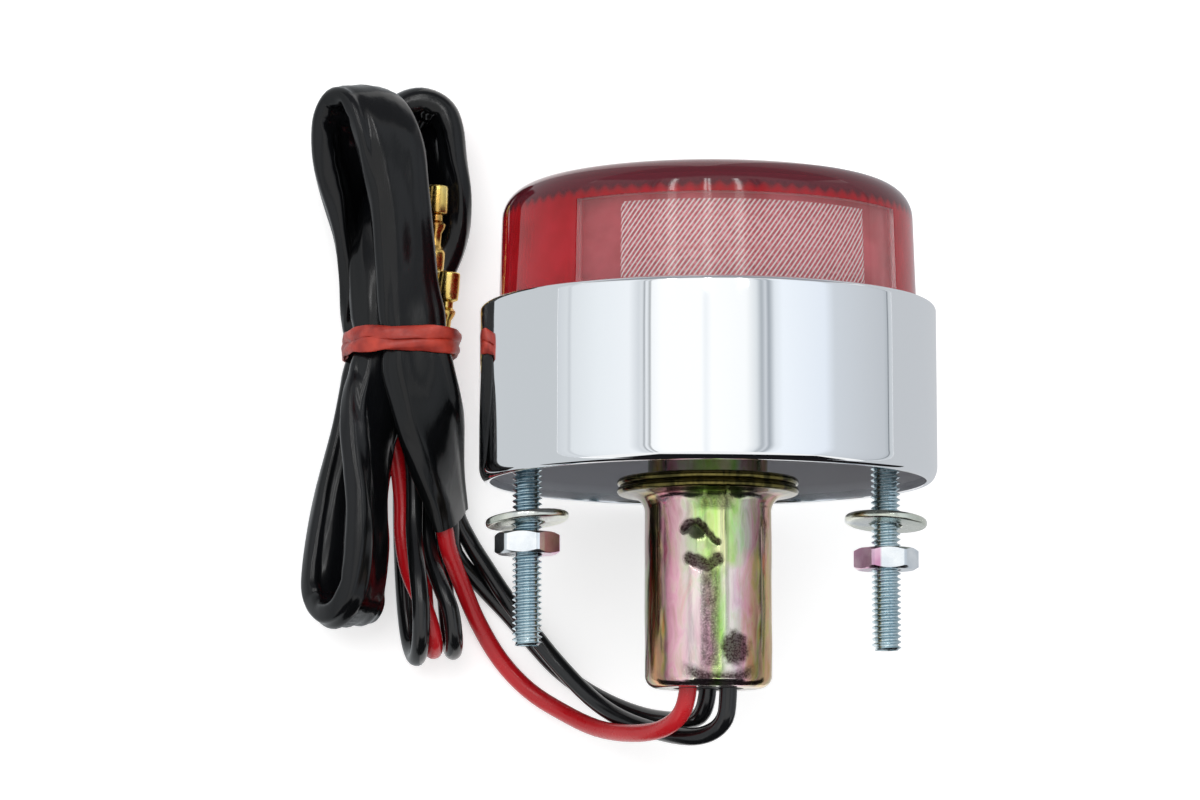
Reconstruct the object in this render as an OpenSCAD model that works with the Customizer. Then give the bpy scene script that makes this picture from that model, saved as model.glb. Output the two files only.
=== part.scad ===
// Round motorcycle tail lamp: chrome cup, red lens with a clear licence window, bayonet bulb
// socket, two threaded mounting studs and a folded wiring harness, lying on its side.
// Row frame: +Z up, +Y towards the lens, origin on the surface below the middle of the lamp.
// The lamp itself is drawn in its own frame, with the axis along Z, Z = 0 at the rear rim and
// the licence window facing -Y, and is then laid on its side.

/* [Housing] */
// Outer diameter of the chrome cup
housing_d = 63.5; // [55:0.5:80]
// Length of the cup along the lamp's axis
housing_len = 24.5; // [22:0.5:34]
// Sheet thickness of the cup
housing_wall = 1.2; // [0.8:0.1:1.6]
// Radius on the outside of both rims
rim_r = 0.8; // [0.4:0.1:1.1]
// Depth of the mounting plate behind the rear rim
recess = 8.0; // [6:0.5:10]
// Sheet thickness of the mounting plate
plate_t = 1.0; // [0.8:0.1:1.6]
// Height of the plate's turned-up flange
plate_flange = 4.0; // [2:0.5:5]

/* [Lens] */
// Diameter of the lens at its seat
lens_d = 58.3; // [50:0.1:70]
// Height of the lens above the cup's front rim
lens_stand = 16.7; // [12:0.1:24]
// Wall of the lens
lens_wall = 2.4; // [1.6:0.1:3]
// Radius between the lens's side and its front
lens_corner = 4.5; // [3:0.1:6]
// Fall of the side wall's radius over its height
lens_draft = 0.5; // [0:0.1:1]
// Depth of the lens's seat below the front rim
lens_well = 4.0; // [3:0.1:5]
// Thickness of the lens gasket
gasket_t = 1.0; // [0.6:0.1:2]
// Distance from the lens's front to the licence window
window_drop = 5.0; // [4.6:0.1:8]
// Half of the angle that the licence window spans
window_half = 50; // [30:1:60]
// Distance between the two lens screws
screw_span = 36; // [33:0.5:37]
// Shank diameter of the lens screws
screw_d = 3.5; // [3:0.1:4]
// Head diameter of the lens screws
screw_head_d = 6.6; // [6:0.1:8]
// Diameter of the threaded pillars that the lens screws turn in
pillar_d = 6.0; // [5.4:0.1:8]
// Height of those pillars above the mounting plate
pillar_h = 11.0; // [8:0.5:12]

/* [Socket] */
// Outer diameter of the socket's tube
socket_d = 17.6; // [17.2:0.1:18.4]
// Outer diameter of the socket's neck, through the recess
neck_d = 16.6; // [16.4:0.1:17]
// Sheet thickness of the socket
socket_wall = 0.5; // [0.4:0.05:0.6]
// How far the socket stands out past the rear rim
socket_out = 28.4; // [26:0.1:34]
// Outer diameter of the double bead
bead_d = 25.2; // [22:0.1:30]
// Thickness of one bead
bead_t = 1.15; // [0.8:0.05:1.4]
// Radius round the socket's closed end
socket_end_r = 1.8; // [1:0.1:2.5]
// Angle of the bayonet entry track, from straight up
track_angle = 4; // [-20:1:40]
// Angle that the bulb turns through into its hook
bayonet_turn = 22; // [15:1:26]
// Travel of the bulb against its spring
bayonet_push = 2.5; // [1.5:0.1:3]

/* [Bulb] */
// Diameter of the bulb's glass
bulb_d = 25; // [22:0.5:26]
// Overall length of the bulb
bulb_len = 49; // [46:0.5:51]
// Diameter of the bulb's base
base_d = 15.2; // [15:0.05:15.3]
// Length of the bulb's base
base_len = 17; // [15:0.5:18]
// Depth of the bulb's contacts below the rear rim
bulb_seat = 14; // [12:0.5:16]

/* [Mounting studs] */
// Distance between the studs
stud_span = 50.8; // [49:0.1:51.6]
// Thread diameter of the studs
stud_d = 4.1; // [3.8:0.1:4.4]
// Length of a stud from the plate's front
stud_len = 31.8; // [26:0.1:38]
// Advance of a nut in one turn
stud_pitch = 0.794; // [0.7:0.001:0.9]
// Width of the nuts across their flats
nut_af = 8.1; // [7:0.1:9]
// Height of the nuts
nut_h = 3.0; // [2.4:0.1:4]
// Depth of each nut's middle below the rear rim, left and right
nut_at = [8.8, 10.1];
// Outer diameter of the washers
washer_d = 11.5; // [9:0.1:12.4]
// Thickness of the washers
washer_t = 1.1; // [0.8:0.1:1.4]
// Depth of each washer's middle below the rear rim, left and right
washer_at = [5.5, 4.8];
// Tilt of the loose washers
washer_tilt = 5; // [0:1:6]

/* [Wiring] */
// Diameter of a wire
wire_d = 2.5; // [2:0.1:2.5]
// Width of the flattened sleeve
sleeve_w = 10.2; // [10:0.1:10.4]
// Thickness of the flattened sleeve
sleeve_t = 3.6; // [3.5:0.1:3.7]
// Wall of the sleeve
sleeve_wall = 0.35; // [0.3:0.05:0.4]
// Strand diameter of the rubber band
band_d = 1.1; // [0.8:0.1:1.2]
// Turns of the rubber band round the harness
band_turns = 3; // [2:1:3]
// Length of a bullet terminal
bullet_len = 14; // [12:0.5:15]
// Head diameter of a bullet terminal
bullet_d = 3.2; // [3:0.1:3.4]

/* [Hidden] */
$fn = 72;

// Clearances: a seat that is pressed or glued, a loose part, and a thread drawn as a plain fit
press_gap = 0.05;
loose_gap = 0.25;
thread_gap = 0.05;
eps = 0.01;

// Lengths along the lamp's axis, from the rear rim
plate_front = recess + plate_t;
lens_top = housing_len + lens_stand;
seat_s = housing_len - lens_well;
lens_base = seat_s + gasket_t;
window_top = lens_top - window_drop;
boss_h = 5;
head_h = 2.2;
head_s = lens_top - 1.4 - head_h;
pillar_top = plate_front + pillar_h;

// Radii
housing_r = housing_d / 2;
housing_in = housing_r - housing_wall;
lens_r = lens_d / 2;
collar_in = lens_r + loose_gap;
collar_t = 0.9;
ledge_in = lens_r - lens_wall - 0.6;
socket_r = socket_d / 2;
socket_in = socket_r - socket_wall;
neck_r = neck_d / 2;
neck_in = neck_r - socket_wall;
bead_r = bead_d / 2;
base_r = base_d / 2;

// The lamp lies with its axis at the cup's radius, its box centred on Y = 0
rim_y = (socket_out - lens_top) / 2;

// Bayonet: the two pins, the tracks that they run in and the ridges outside them
pin_d = 2.0;
pin_reach = 8.5;
pin_up = [6.7, 9.7];
pin_side = [0, 180];
track_r = pin_reach + 0.15;
ridge_r = track_r + socket_wall;
track_w = pin_d + 0.6;
rest_angle = track_angle - bayonet_turn;
neck_low = -0.8;

// Contacts and spring inside the socket
contact_x = 3.3;
stem_r = 3.2;
stem_h = 5;
contact_gap = 0.2;
tip_h = 0.6;
carrier_t = 1.6;
carrier_s = -bulb_seat - contact_gap - tip_h;
socket_floor = -socket_out + socket_wall;
spring_d = 0.8;
spring_r = 6.3;
spring_turns = 6;
grommet_r = 4.75;

module lamp() translate([0, rim_y, housing_r]) rotate([-90, 0, 0]) children();

// Turns a thing that is drawn facing +X to an angle measured from straight up, towards +X
module facing(angle) rotate([0, 0, angle - 90]) children();

// Points of an arc in a profile, from angle a0 to a1
function arc(c, r, a0, a1, n = 8) =
    [for (i = [0:n]) c + r * [cos(a0 + (a1 - a0) * i / n), sin(a0 + (a1 - a0) * i / n)]];

// A wedge of the lamp, straight up, of a half angle and between two lengths
module wedge(half, s0, s1)
    facing(0) translate([0, 0, s0]) linear_extrude(s1 - s0)
        polygon([[0, 0], for (i = [-4:4]) 2 * housing_r * [cos(half * i / 4), sin(half * i / 4)]]);

module housing()
    color("gainsboro") lamp() rotate_extrude($fn = 144) polygon(concat(
        [[housing_in, 0]],
        arc([housing_r - rim_r, rim_r], rim_r, -90, 0),
        arc([housing_r - rim_r, housing_len - rim_r], rim_r, 0, 90),
        [[collar_in, housing_len], [collar_in, seat_s], [ledge_in, seat_s],
         [ledge_in, seat_s - collar_t], [collar_in + collar_t, seat_s - collar_t],
         [collar_in + collar_t, housing_len - housing_wall],
         [housing_in, housing_len - housing_wall]]));

module base_plate() {
    plate_r = housing_in - press_gap;
    color("silver") lamp() difference() {
        rotate_extrude($fn = 96) polygon(concat(
            [[neck_r + press_gap, recess]],
            arc([plate_r - 1.4, recess + 1.4], 1.4, -90, 0),
            [[plate_r, recess + plate_flange], [plate_r - plate_t, recess + plate_flange]],
            arc([plate_r - 1.4, recess + 1.4], 1.4 - plate_t, 0, -90),
            [[neck_r + press_gap, plate_front]]));
        for (side = [-1, 1])
            translate([side * stud_span / 2, 0, recess - 1])
                cylinder(d = stud_d + 2 * press_gap, h = plate_t + 2, $fn = 32);
        for (i = [0, 1])
            facing(track_angle + pin_side[i])
                translate([0, -track_w / 2 - press_gap - socket_wall, recess - 1])
                    cube([ridge_r + press_gap, track_w + 2 * (press_gap + socket_wall), plate_t + 2]);
    }
}

// Outside of the lens, or its inside with the wall taken off
function lens_profile(off) = let (
    r0 = lens_r - off, r1 = lens_r - lens_draft - off, c = lens_corner - off, t = lens_top - off
) concat([[0, lens_base - (off > 0 ? 1 : 0)], [r0, lens_base - (off > 0 ? 1 : 0)]],
    arc([r1 - c, t - c], c, 0, 90), [[0, t]]);

module lens_shell() difference() {
    rotate_extrude($fn = 144) polygon(lens_profile(0));
    rotate_extrude($fn = 144) polygon(lens_profile(lens_wall));
}

module at_screws(sides = [-1, 1])
    for (side = sides) translate([side * screw_span / 2, 0, 0]) children();

module lens()
    color([0.75, 0.05, 0.1, 0.8]) lamp() difference() {
        union() {
            lens_shell();
            at_screws() translate([0, 0, lens_top - boss_h])
                cylinder(d = screw_head_d + 2.4, h = boss_h - 1);
        }
        wedge(window_half + 0.1, lens_base - 1, window_top + press_gap);
        at_screws() {
            translate([0, 0, lens_top - boss_h - 1])
                cylinder(d = screw_d + 2 * press_gap, h = boss_h + 2, $fn = 32);
            translate([0, 0, head_s]) cylinder(d = screw_head_d + 2 * loose_gap, h = 5, $fn = 48);
        }
    }

module license_window()
    color([1, 0.85, 0.87, 0.6]) lamp() intersection() {
        lens_shell();
        wedge(window_half, lens_base, window_top);
    }

module lens_gasket()
    color("dimgray") lamp() translate([0, 0, seat_s]) difference() {
        cylinder(r = lens_r, h = gasket_t, $fn = 96);
        translate([0, 0, -1]) cylinder(r = lens_r - lens_wall, h = gasket_t + 2, $fn = 96);
    }

module lens_pillars()
    color("goldenrod") lamp() at_screws() translate([0, 0, plate_front]) difference() {
        cylinder(d = pillar_d, h = pillar_h, $fn = 48);
        translate([0, 0, 1]) cylinder(d = screw_d + 2 * thread_gap, h = pillar_h, $fn = 32);
    }

module lens_screw(side)
    color("silver") lamp() at_screws([side]) difference() {
        union() {
            translate([0, 0, head_s]) cylinder(d = screw_head_d, h = head_h, $fn = 48);
            translate([0, 0, pillar_top - 6]) cylinder(d = screw_d, h = head_s - pillar_top + 6, $fn = 32);
        }
        for (turn = [0, 90])
            rotate([0, 0, turn]) translate([-2.2, -0.4, head_s + head_h - 1.2]) cube([4.4, 0.8, 2]);
    }

// Part of a ring round the lamp's axis, centred on an angle from straight up
module ring_part(r0, r1, from, to, s0, s1)
    facing(from) translate([0, 0, s0]) rotate_extrude(angle = to - from, $fn = 96)
        translate([r0, 0]) square([r1 - r0, s1 - s0]);

// The two bayonet tracks, as a cut (grow 0) or as the ridge that the sheet makes round it
module bayonet(grow, tube_from, neck_from, to) {
    half = asin((track_w / 2 + grow) / track_r);
    for (i = [0, 1]) {
        pin_s = pin_up[i] - bulb_seat;
        low = pin_s - bayonet_push - track_w / 2 - grow;
        entry = pin_side[i] + track_angle;
        ring_part(tube_from, to, entry - half, entry + half, low, neck_low + eps);
        ring_part(neck_from, to, entry - half, entry + half, neck_low, plate_front + (grow > 0 ? -0.4 : 2));
        ring_part(tube_from, to - 0.1, pin_side[i] + rest_angle - half, entry,
            low + 0.2, min(pin_s + track_w / 2 + grow, neck_low + eps));
    }
}

module socket_shell() {
    e = socket_end_r;
    b = bead_t / 2;
    color([0.72, 0.66, 0.4]) lamp() difference() {
        union() {
            rotate_extrude($fn = 96) polygon(concat(
                [[neck_in, plate_front + 0.6], [neck_in, neck_low], [socket_in, neck_low - 0.8]],
                [[socket_in, socket_floor + e - socket_wall]],
                arc([socket_r - e, -socket_out + e], e - socket_wall, 0, -90),
                [[grommet_r, socket_floor], [grommet_r, -socket_out]],
                arc([socket_r - e, -socket_out + e], e, -90, 0),
                arc([socket_r + 2.2, -2.6 * bead_t - 1], 2.2, 180, 100, 6),
                arc([bead_r - b, -bead_t + 0.1], b, -90, 80, 6),
                arc([bead_r - b, 0.1], b, -80, 90, 6),
                [[neck_r, 0.1 + b], [neck_r, plate_front],
                 [neck_r + 0.7, plate_front + press_gap], [neck_r + 0.7, plate_front + 0.6]]));
            bayonet(socket_wall, socket_in + 0.1, neck_in + 0.1, ridge_r);
        }
        bayonet(0, neck_in - 1, neck_in - 1, track_r);
    }
}

module wire_grommet() {
    color([0.12, 0.12, 0.13]) lamp() difference() {
        union() {
            translate([0, 0, -socket_out]) cylinder(r = grommet_r - press_gap, h = 2, $fn = 48);
            translate([0, 0, socket_floor]) cylinder(r = grommet_r + 0.5, h = 1, $fn = 48);
        }
        for (lead = [lead_red, lead_black_a, lead_black_b])
            translate([lead[0].x, housing_r - lead[0].z, -socket_out - 1])
                cylinder(d = wire_d + 2 * loose_gap, h = 5, $fn = 24);
    }
}

module contact_spring() {
    s0 = socket_floor + spring_d / 2 + 0.05;
    s1 = carrier_s - carrier_t - spring_d / 2 - 0.05;
    n = 8 * spring_turns;
    path = [for (i = [0:n]) [
        [spring_r * cos(360 * i / 8), spring_r * sin(360 * i / 8), s0 + (s1 - s0) * i / n], [0, 0, 1]]];
    color("silver") lamp() sweep(path, ring(spring_d / 2, 6));
}

module contact_carrier()
    color([0.55, 0.3, 0.15]) lamp() translate([0, 0, carrier_s - carrier_t]) difference() {
        cylinder(r = neck_in - 0.2, h = carrier_t, $fn = 64);
        for (side = [-1, 1])
            translate([side * contact_x, 0, -1]) cylinder(d = 1.5 + 2 * press_gap, h = carrier_t + 2, $fn = 24);
    }

module contact_tips()
    color("goldenrod") lamp() for (side = [-1, 1]) translate([side * contact_x, 0, carrier_s]) {
        cylinder(d = 3.2, h = tip_h, $fn = 32);
        translate([0, 0, -carrier_t - 1.4]) cylinder(d = 1.5, h = carrier_t + 1.4 + eps, $fn = 24);
    }

module bulb_base() {
    s0 = -bulb_seat + 1;
    color("silver") lamp() union() {
        difference() {
            translate([0, 0, s0]) cylinder(r = base_r, h = base_len, $fn = 72);
            translate([0, 0, s0 - 1]) cylinder(r = base_r - 0.5, h = base_len + 2, $fn = 72);
        }
        for (i = [0, 1])
            facing(rest_angle + pin_side[i]) translate([base_r - 0.4, 0, pin_up[i] - bulb_seat])
                rotate([0, 90, 0]) cylinder(d = pin_d, h = pin_reach - base_r + 0.4, $fn = 24);
    }
}

module bulb_insulator()
    color([0.08, 0.08, 0.1]) lamp() translate([0, 0, -bulb_seat + 0.6])
        cylinder(r = base_r - 0.5 - press_gap, h = 1.6, $fn = 64);

module bulb_contacts()
    color("silver") lamp() for (side = [-1, 1])
        translate([side * contact_x, 0, -bulb_seat]) cylinder(d = 3.2, h = 0.6, $fn = 32);

module bulb_glass() {
    top = bulb_len - bulb_seat;
    ball = bulb_d / 2;
    neck = base_r - 0.5 - 0.3;
    foot = base_len - bulb_seat - 3;
    wall = 0.7;
    join = ball - sqrt(ball * ball - neck * neck);
    lean = asin(neck / ball);
    color([0.95, 0.97, 1, 0.4]) lamp() difference() {
        rotate_extrude() polygon(concat(
            [[0, foot], [neck, foot], [neck, top - 2 * ball + join]],
            arc([0, top - ball], ball, lean - 90, 90, 16)));
        rotate_extrude() polygon(concat(
            [[0, foot + stem_h], [stem_r, foot + stem_h], [stem_r + 0.8, foot + 1], [neck - wall, foot + 1],
             [neck - wall, top - 2 * ball + join + 1]],
            arc([0, top - ball], ball - wall, lean - 88, 90, 16)));
    }
}

// Two filaments, each between its own pair of support wires that stand on the glass stem
module bulb_filaments() {
    stand = base_len - bulb_seat - 3 + stem_h;
    color("dimgray") lamp() for (pair = [[-1.4, 13], [1.4, 9]]) translate([0, pair[0], stand]) union() {
        for (side = [-1, 1])
            translate([side * (stem_r - 0.6), 0, 0]) cylinder(d = 0.5, h = pair[1], $fn = 16);
        translate([-stem_r, 0, pair[1]]) rotate([0, 90, 0]) cylinder(d = 0.7, h = 2 * stem_r, $fn = 16);
    }
}

module at_stud(side) lamp() translate([side * stud_span / 2, 0, 0]) children();

module stud(side)
    color("lightsteelblue") at_stud(side) union() {
        translate([0, 0, plate_front - stud_len]) cylinder(d = stud_d, h = stud_len + 0.5, $fn = 48);
        translate([0, 0, plate_front + press_gap]) cylinder(d = 7.6, h = 2, $fn = 48);
    }

module washer(side)
    color("lightsteelblue") at_stud(side) translate([0, 0, -washer_at[side > 0 ? 1 : 0]])
        rotate([0, side * washer_tilt, 0]) translate([0, 0, -washer_t / 2]) difference() {
            cylinder(d = washer_d, h = washer_t, $fn = 64);
            translate([0, 0, -1]) cylinder(d = stud_d + 2 * loose_gap, h = washer_t + 2, $fn = 48);
        }

// Hexagon nut with its corners turned off on both faces
module nut(side, turn)
    color("lightsteelblue") at_stud(side) translate([0, 0, -nut_at[side > 0 ? 1 : 0]])
        rotate([0, 0, turn]) difference() {
            intersection() {
                translate([0, 0, -nut_h / 2]) cylinder(d = nut_af / cos(30), h = nut_h, $fn = 6);
                rotate_extrude() polygon([
                    [0, -nut_h / 2], [nut_af / 2, -nut_h / 2], [nut_af / 2 + 0.8, -nut_h / 2 + 0.45],
                    [nut_af / 2 + 0.8, nut_h / 2 - 0.45], [nut_af / 2, nut_h / 2], [0, nut_h / 2]]);
            }
            translate([0, 0, -nut_h]) cylinder(d = stud_d + 2 * thread_gap, h = 2 * nut_h, $fn = 48);
        }

// Harness. A route is a list of [x, y, z, lean]; lean turns the sleeve's flat width about Y.
// From inside the socket, out and down to the surface, and up to the sleeve's mouth
lead_red = [
    [-3, -32.4, 32, 0], [-3, -35.4, 31.9, 0], [-3.6, -38.3, 30, 0], [-5.3, -40.1, 25.4, 0],
    [-8.2, -40.4, 18.8, 0], [-11.6, -39.4, 11.4, 0], [-15.6, -36.8, 5.5, 0], [-19.9, -33.6, 2.4, 0],
    [-23.9, -29.3, 1.6, 0], [-27.3, -23.9, 2, 0], [-30, -18.8, 4.4, 0], [-32.4, -14, 7, 0]
];
lead_black_a = [
    [2.6, -32.4, 32.6, 0], [2.6, -35.4, 32.5, 0], [2.4, -38.8, 31.3, 0], [1.1, -40.6, 28.4, 0],
    [-1.3, -41.1, 25.1, 0], [-4.7, -40.1, 19.5, 0], [-8.6, -38.1, 13.8, 0], [-12.2, -34.9, 9.1, 0],
    [-16.4, -29.8, 5.5, 0], [-20.2, -24.9, 4.4, 0], [-23.8, -20.2, 4.2, 0], [-26.8, -15.6, 3.6, 0],
    [-28.8, -12.4, 3.4, 0]
];
lead_black_b = [
    [0.4, -32.4, 29.4, 0], [0.4, -35.4, 29.1, 0], [0.1, -37.9, 27, 0], [-0.8, -38.7, 23.2, 0],
    [-2.5, -38.5, 18.4, 0], [-5.2, -37.7, 13.2, 0], [-8.6, -36, 8.6, 0], [-12.4, -33.4, 4.7, 0],
    [-16, -30.2, 2.3, 0], [-19.4, -26.4, 1.5, 0], [-23, -22.4, 1.5, 0], [-26.8, -18.6, 1.9, 0],
    [-31, -14.2, 3.8, 0]
];
// The sleeve: up the front, over the left fold, down the back, up in the middle, over the
// right fold and down to its end under the front run
sleeve_route = [
    [-32.2, -9.6, 6.8, -58], [-33.8, -4.2, 9.2, -48], [-35.4, 1.2, 12.4, -30], [-37, 6, 15.2, -8],
    [-38.2, 11, 16, 0], [-38.5, 16, 16, 0], [-39.1, 22, 16.1, 0], [-40, 30, 16.2, -3],
    [-41.2, 38, 16.4, -8], [-42.8, 44.8, 16.2, -18], [-45.2, 49.8, 14.6, -32],
    [-48.4, 51.4, 11.2, -42], [-50.9, 48.4, 8.2, -45], [-51.6, 42.6, 6.6, -46],
    [-51.2, 36, 5.4, -42], [-50, 29.5, 3.6, -20], [-47, 24, 2.4, 0], [-42.3, 18.4, 3.1, 0],
    [-42.2, 12, 3.1, 0], [-44.2, 5.6, 2.7, 0], [-47, -1, 2.3, -2], [-49, -7, 2.7, -8],
    [-50.2, -13, 3.8, -24], [-50.2, -18, 4.5, -34], [-49, -21.8, 6, -38], [-47.2, -23.2, 8.4, -40],
    [-45.4, -21.6, 10.8, -42], [-44.3, -17.6, 12, -46], [-44.2, -12, 12.3, -52],
    [-44.2, -6, 12.1, -50], [-44.2, 1, 11.6, -32], [-43.4, 6, 11.5, -14], [-42.3, 10, 11.6, -3],
    [-42, 16, 11.7, 0], [-42.4, 23, 11.4, 4], [-42.4, 30, 9.8, 22], [-41.6, 36.6, 7.9, 48],
    [-40.8, 42, 6.4, 66], [-40.6, 46.6, 5.9, 74], [-39, 50.2, 5.7, 76], [-35.8, 51.6, 5.7, 76],
    [-32.6, 50.2, 5.7, 76], [-30.9, 46.6, 5.7, 70], [-30.7, 42, 5.7, 54], [-31.4, 36.6, 5.7, 30],
    [-33.2, 30, 5.5, 6], [-38.4, 23.6, 6.5, -3], [-41.6, 17.8, 7.4, 0], [-41.4, 13, 7.4, 0],
    [-41.4, 9.4, 7.2, 0]
];
// From the sleeve's end down, round and back up to the terminals
tail_red = [
    [-41, 3.4, 6.5, 0], [-39.6, -1, 5.3, 0], [-38.8, -7, 4.8, 0], [-38.8, -12, 5.4, 0],
    [-38.2, -17.4, 8, 0], [-36.4, -22.4, 10.3, 0], [-35, -26.4, 9.7, 0], [-34.4, -28.3, 6.4, 0],
    [-34.5, -26.8, 2.9, 0], [-34.8, -23, 1.5, 0], [-35.2, -17, 1.5, 0], [-35.4, -8, 1.5, 0],
    [-35.2, -2, 1.5, 0], [-34.8, 4, 1.6, 0], [-35.1, 7.4, 2.6, 0], [-35.1, 11, 3.9, 0],
    [-35, 14, 3.6, 0]
];
tail_black_a = [
    [-36.2, 3.4, 6.4, 0], [-35.4, -2, 5.2, 0], [-35.3, -8, 4.5, 0], [-35.3, -12, 5.8, 0],
    [-35, -15.4, 7.4, 0], [-34, -19.4, 10.2, 0], [-32.8, -23, 11.4, 0], [-32, -26.8, 9.9, 0],
    [-31.6, -28.4, 6.4, 0], [-31.5, -26.8, 2.9, 0], [-31.7, -23, 1.5, 0], [-32.2, -17, 1.5, 0],
    [-32.6, -10, 1.5, 0], [-32.6, -4, 1.8, 0], [-33.3, 2, 5.2, 0], [-34.2, 6.8, 9.6, 0],
    [-34.8, 10.3, 11.3, 0], [-34.5, 13.3, 11.7, 0]
];
tail_black_b = [
    [-38.6, 3.4, 7.6, 0], [-37.6, -2, 7.4, 0], [-37.4, -7.4, 7.2, 0], [-37.6, -12, 8.6, 0],
    [-37.6, -18, 12.2, 0], [-37.3, -23, 13.5, 0], [-37.1, -27.4, 11.8, 0], [-37, -29.4, 7.6, 0],
    [-37.2, -27.6, 3.3, 0], [-37.6, -23.4, 1.5, 0], [-38.1, -17, 1.5, 0], [-38.4, -9, 1.5, 0],
    [-38.3, -3, 1.5, 0], [-37.6, 3, 2.8, 0], [-35.6, 6.8, 5, 0], [-34.9, 11, 7.2, 0],
    [-34.8, 14, 7.8, 0], [-34.3, 18.2, 9.1, 0], [-34.9, 21, 9.9, 0], [-35.5, 23.2, 10.1, 0],
    [-35.4, 26, 10.2, 0]
];
// Outline of the rubber band in the X-Z plane at the waist of the harness
band_y = 14.8;
band_outline = [
    [-48.1, 2.3], [-48, 4.4], [-48, 8], [-48, 12.4], [-47.3, 15], [-45.4, 17.3],
    [-43, 18.7], [-38.4, 18.9], [-34.6, 18.8], [-32.4, 17.2], [-31.5, 13.6], [-31.6, 9],
    [-31.7, 5], [-32.6, 1.7], [-35.8, 0.66], [-40.6, 0.66], [-46.9, 0.66]
];
band_pitch = 1.75;

// Smooth curve through a route's points, with a few steps between two of them
function pick(p, i) = p[min(max(i, 0), len(p) - 1)];
function blend(a, b, c, d, t) =
    0.5 * (2 * b + (c - a) * t + (2 * a - 5 * b + 4 * c - d) * t * t + (3 * b - a - 3 * c + d) * t * t * t);
function smooth(p, steps) = [
    for (i = [0:len(p) - 2]) for (k = [0:steps - 1])
        blend(pick(p, i - 1), p[i], p[i + 1], pick(p, i + 2), k / steps),
    p[len(p) - 1]
];
function at(q) = [q.x, q.y, q.z];
function unit(v) = v / norm(v);
function ring(r, n) = [for (i = [0:n - 1]) r * [cos(360 * i / n), sin(360 * i / n)]];
function oval(a, b, n) = [for (i = [0:n - 1]) let (t = 360 * i / n)
    [a * sign(cos(t)) * pow(abs(cos(t)), 0.4), b * sign(sin(t)) * pow(abs(sin(t)), 0.4)]];
function stations(route) = [for (q = route) [at(q), [cos(q[3]), 0, sin(q[3])]]];
function tangent(path, i) = unit(pick(path, i + 1)[0] - pick(path, i - 1)[0]);
function frame(path, i) = let (
    t = tangent(path, i), w = unit(path[i][1] - (path[i][1] * t) * t)
) [path[i][0], w, cross(t, w)];
function skin(path, shape) = [
    for (i = [0:len(path) - 1]) let (f = frame(path, i)) for (q = shape) f[0] + q.x * f[1] + q.y * f[2]
];

// Triangles of one wall of a swept tube, outwards or turned inwards
function wall(rings, n, base, flip) = [
    for (i = [0:rings - 2]) for (k = [0:n - 1]) let (
        a = base + i * n + k, b = base + i * n + (k + 1) % n, c = a + n, d = b + n
    ) each flip ? [[a, b, d], [a, d, c]] : [[a, d, b], [a, c, d]]
];
function cap(n, base, flip) = [for (k = [1:n - 2])
    flip ? [base, base + k + 1, base + k] : [base, base + k, base + k + 1]];

// A solid tube along a path
module sweep(path, shape) {
    n = len(shape);
    m = len(path);
    polyhedron(skin(path, shape),
        concat(wall(m, n, 0, false), cap(n, 0, false), cap(n, (m - 1) * n, true)));
}

// A tube with a bore along a path, with the same number of points in both outlines
module hollow_sweep(path, outer, inner) {
    n = len(outer);
    m = len(path);
    far = (m - 1) * n;
    polyhedron(concat(skin(path, outer), skin(path, inner)), concat(
        wall(m, n, 0, false), wall(m, n, m * n, true),
        [for (k = [0:n - 1]) let (j = (k + 1) % n)
            each [[k, j, m * n + j], [k, m * n + j, m * n + k],
                  [far + k, m * n + far + j, far + j], [far + k, m * n + far + k, m * n + far + j]]]));
}

sleeve_path = stations(smooth(sleeve_route, 1));
function in_sleeve(shift) = [for (i = [0:len(sleeve_path) - 1]) let (f = frame(sleeve_path, i))
    [f[0] + shift * f[1], f[1]]];
function wire_path(lead, shift, tail) = let (
    inside = in_sleeve(shift),
    first = [for (v = inside[0][0]) v], last = [for (v = inside[len(inside) - 1][0]) v],
    a = smooth(concat(lead, [[first.x, first.y, first.z, 0]]), 2),
    b = smooth(concat([[last.x, last.y, last.z, 0]], tail), 2)
) concat(
    stations([for (i = [0:len(a) - 2]) a[i]]), inside, stations([for (i = [1:len(b) - 1]) b[i]]));
wire_step = wire_d + 0.05;

module wire(lead, shift, tail) sweep(wire_path(lead, shift * wire_step, tail), ring(wire_d / 2, 8));
module wire_red() color([0.8, 0.1, 0.12]) wire(lead_red, -1, tail_red);
module wire_black_a() color([0.1, 0.1, 0.11]) wire(lead_black_a, 1, tail_black_a);
module wire_black_b() color([0.2, 0.2, 0.22]) wire(lead_black_b, 0, tail_black_b);

// Least distance between outer points of the sleeve that are not neighbours along it
function least_gap(path, shape, apart) = let (p = skin(path, shape), n = len(shape)) min([
    for (i = [0:len(path) - 1]) for (j = [i + apart:1:len(path) - 1])
        if (norm(path[i][0] - path[j][0]) < 16)
            min([for (a = [0:n - 1]) for (b = [0:n - 1]) norm(p[i * n + a] - p[j * n + b])])
]);

module sleeve() {
    outer = oval(sleeve_w / 2, sleeve_t / 2, 12);
    inner = oval(sleeve_w / 2 - sleeve_wall, sleeve_t / 2 - sleeve_wall, 12);
    echo(sleeve_least_gap_mm = least_gap(sleeve_path, outer, 4));
    color([0.13, 0.13, 0.14]) hollow_sweep(sleeve_path, outer, inner);
}

// The band climbs along Y as it goes round, three turns side by side
module rubber_band() {
    n = len(band_outline);
    turns = n * band_turns;
    path = smooth([for (i = [0:turns]) let (q = band_outline[i % n])
        [q.x, band_y + band_pitch * (i / n - band_turns / 2), q.y, 0]], 1);
    color([0.7, 0.15, 0.12]) sweep([for (q = path) [at(q), [0, 1, 0]]], ring(band_d / 2, 6));
}

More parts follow.
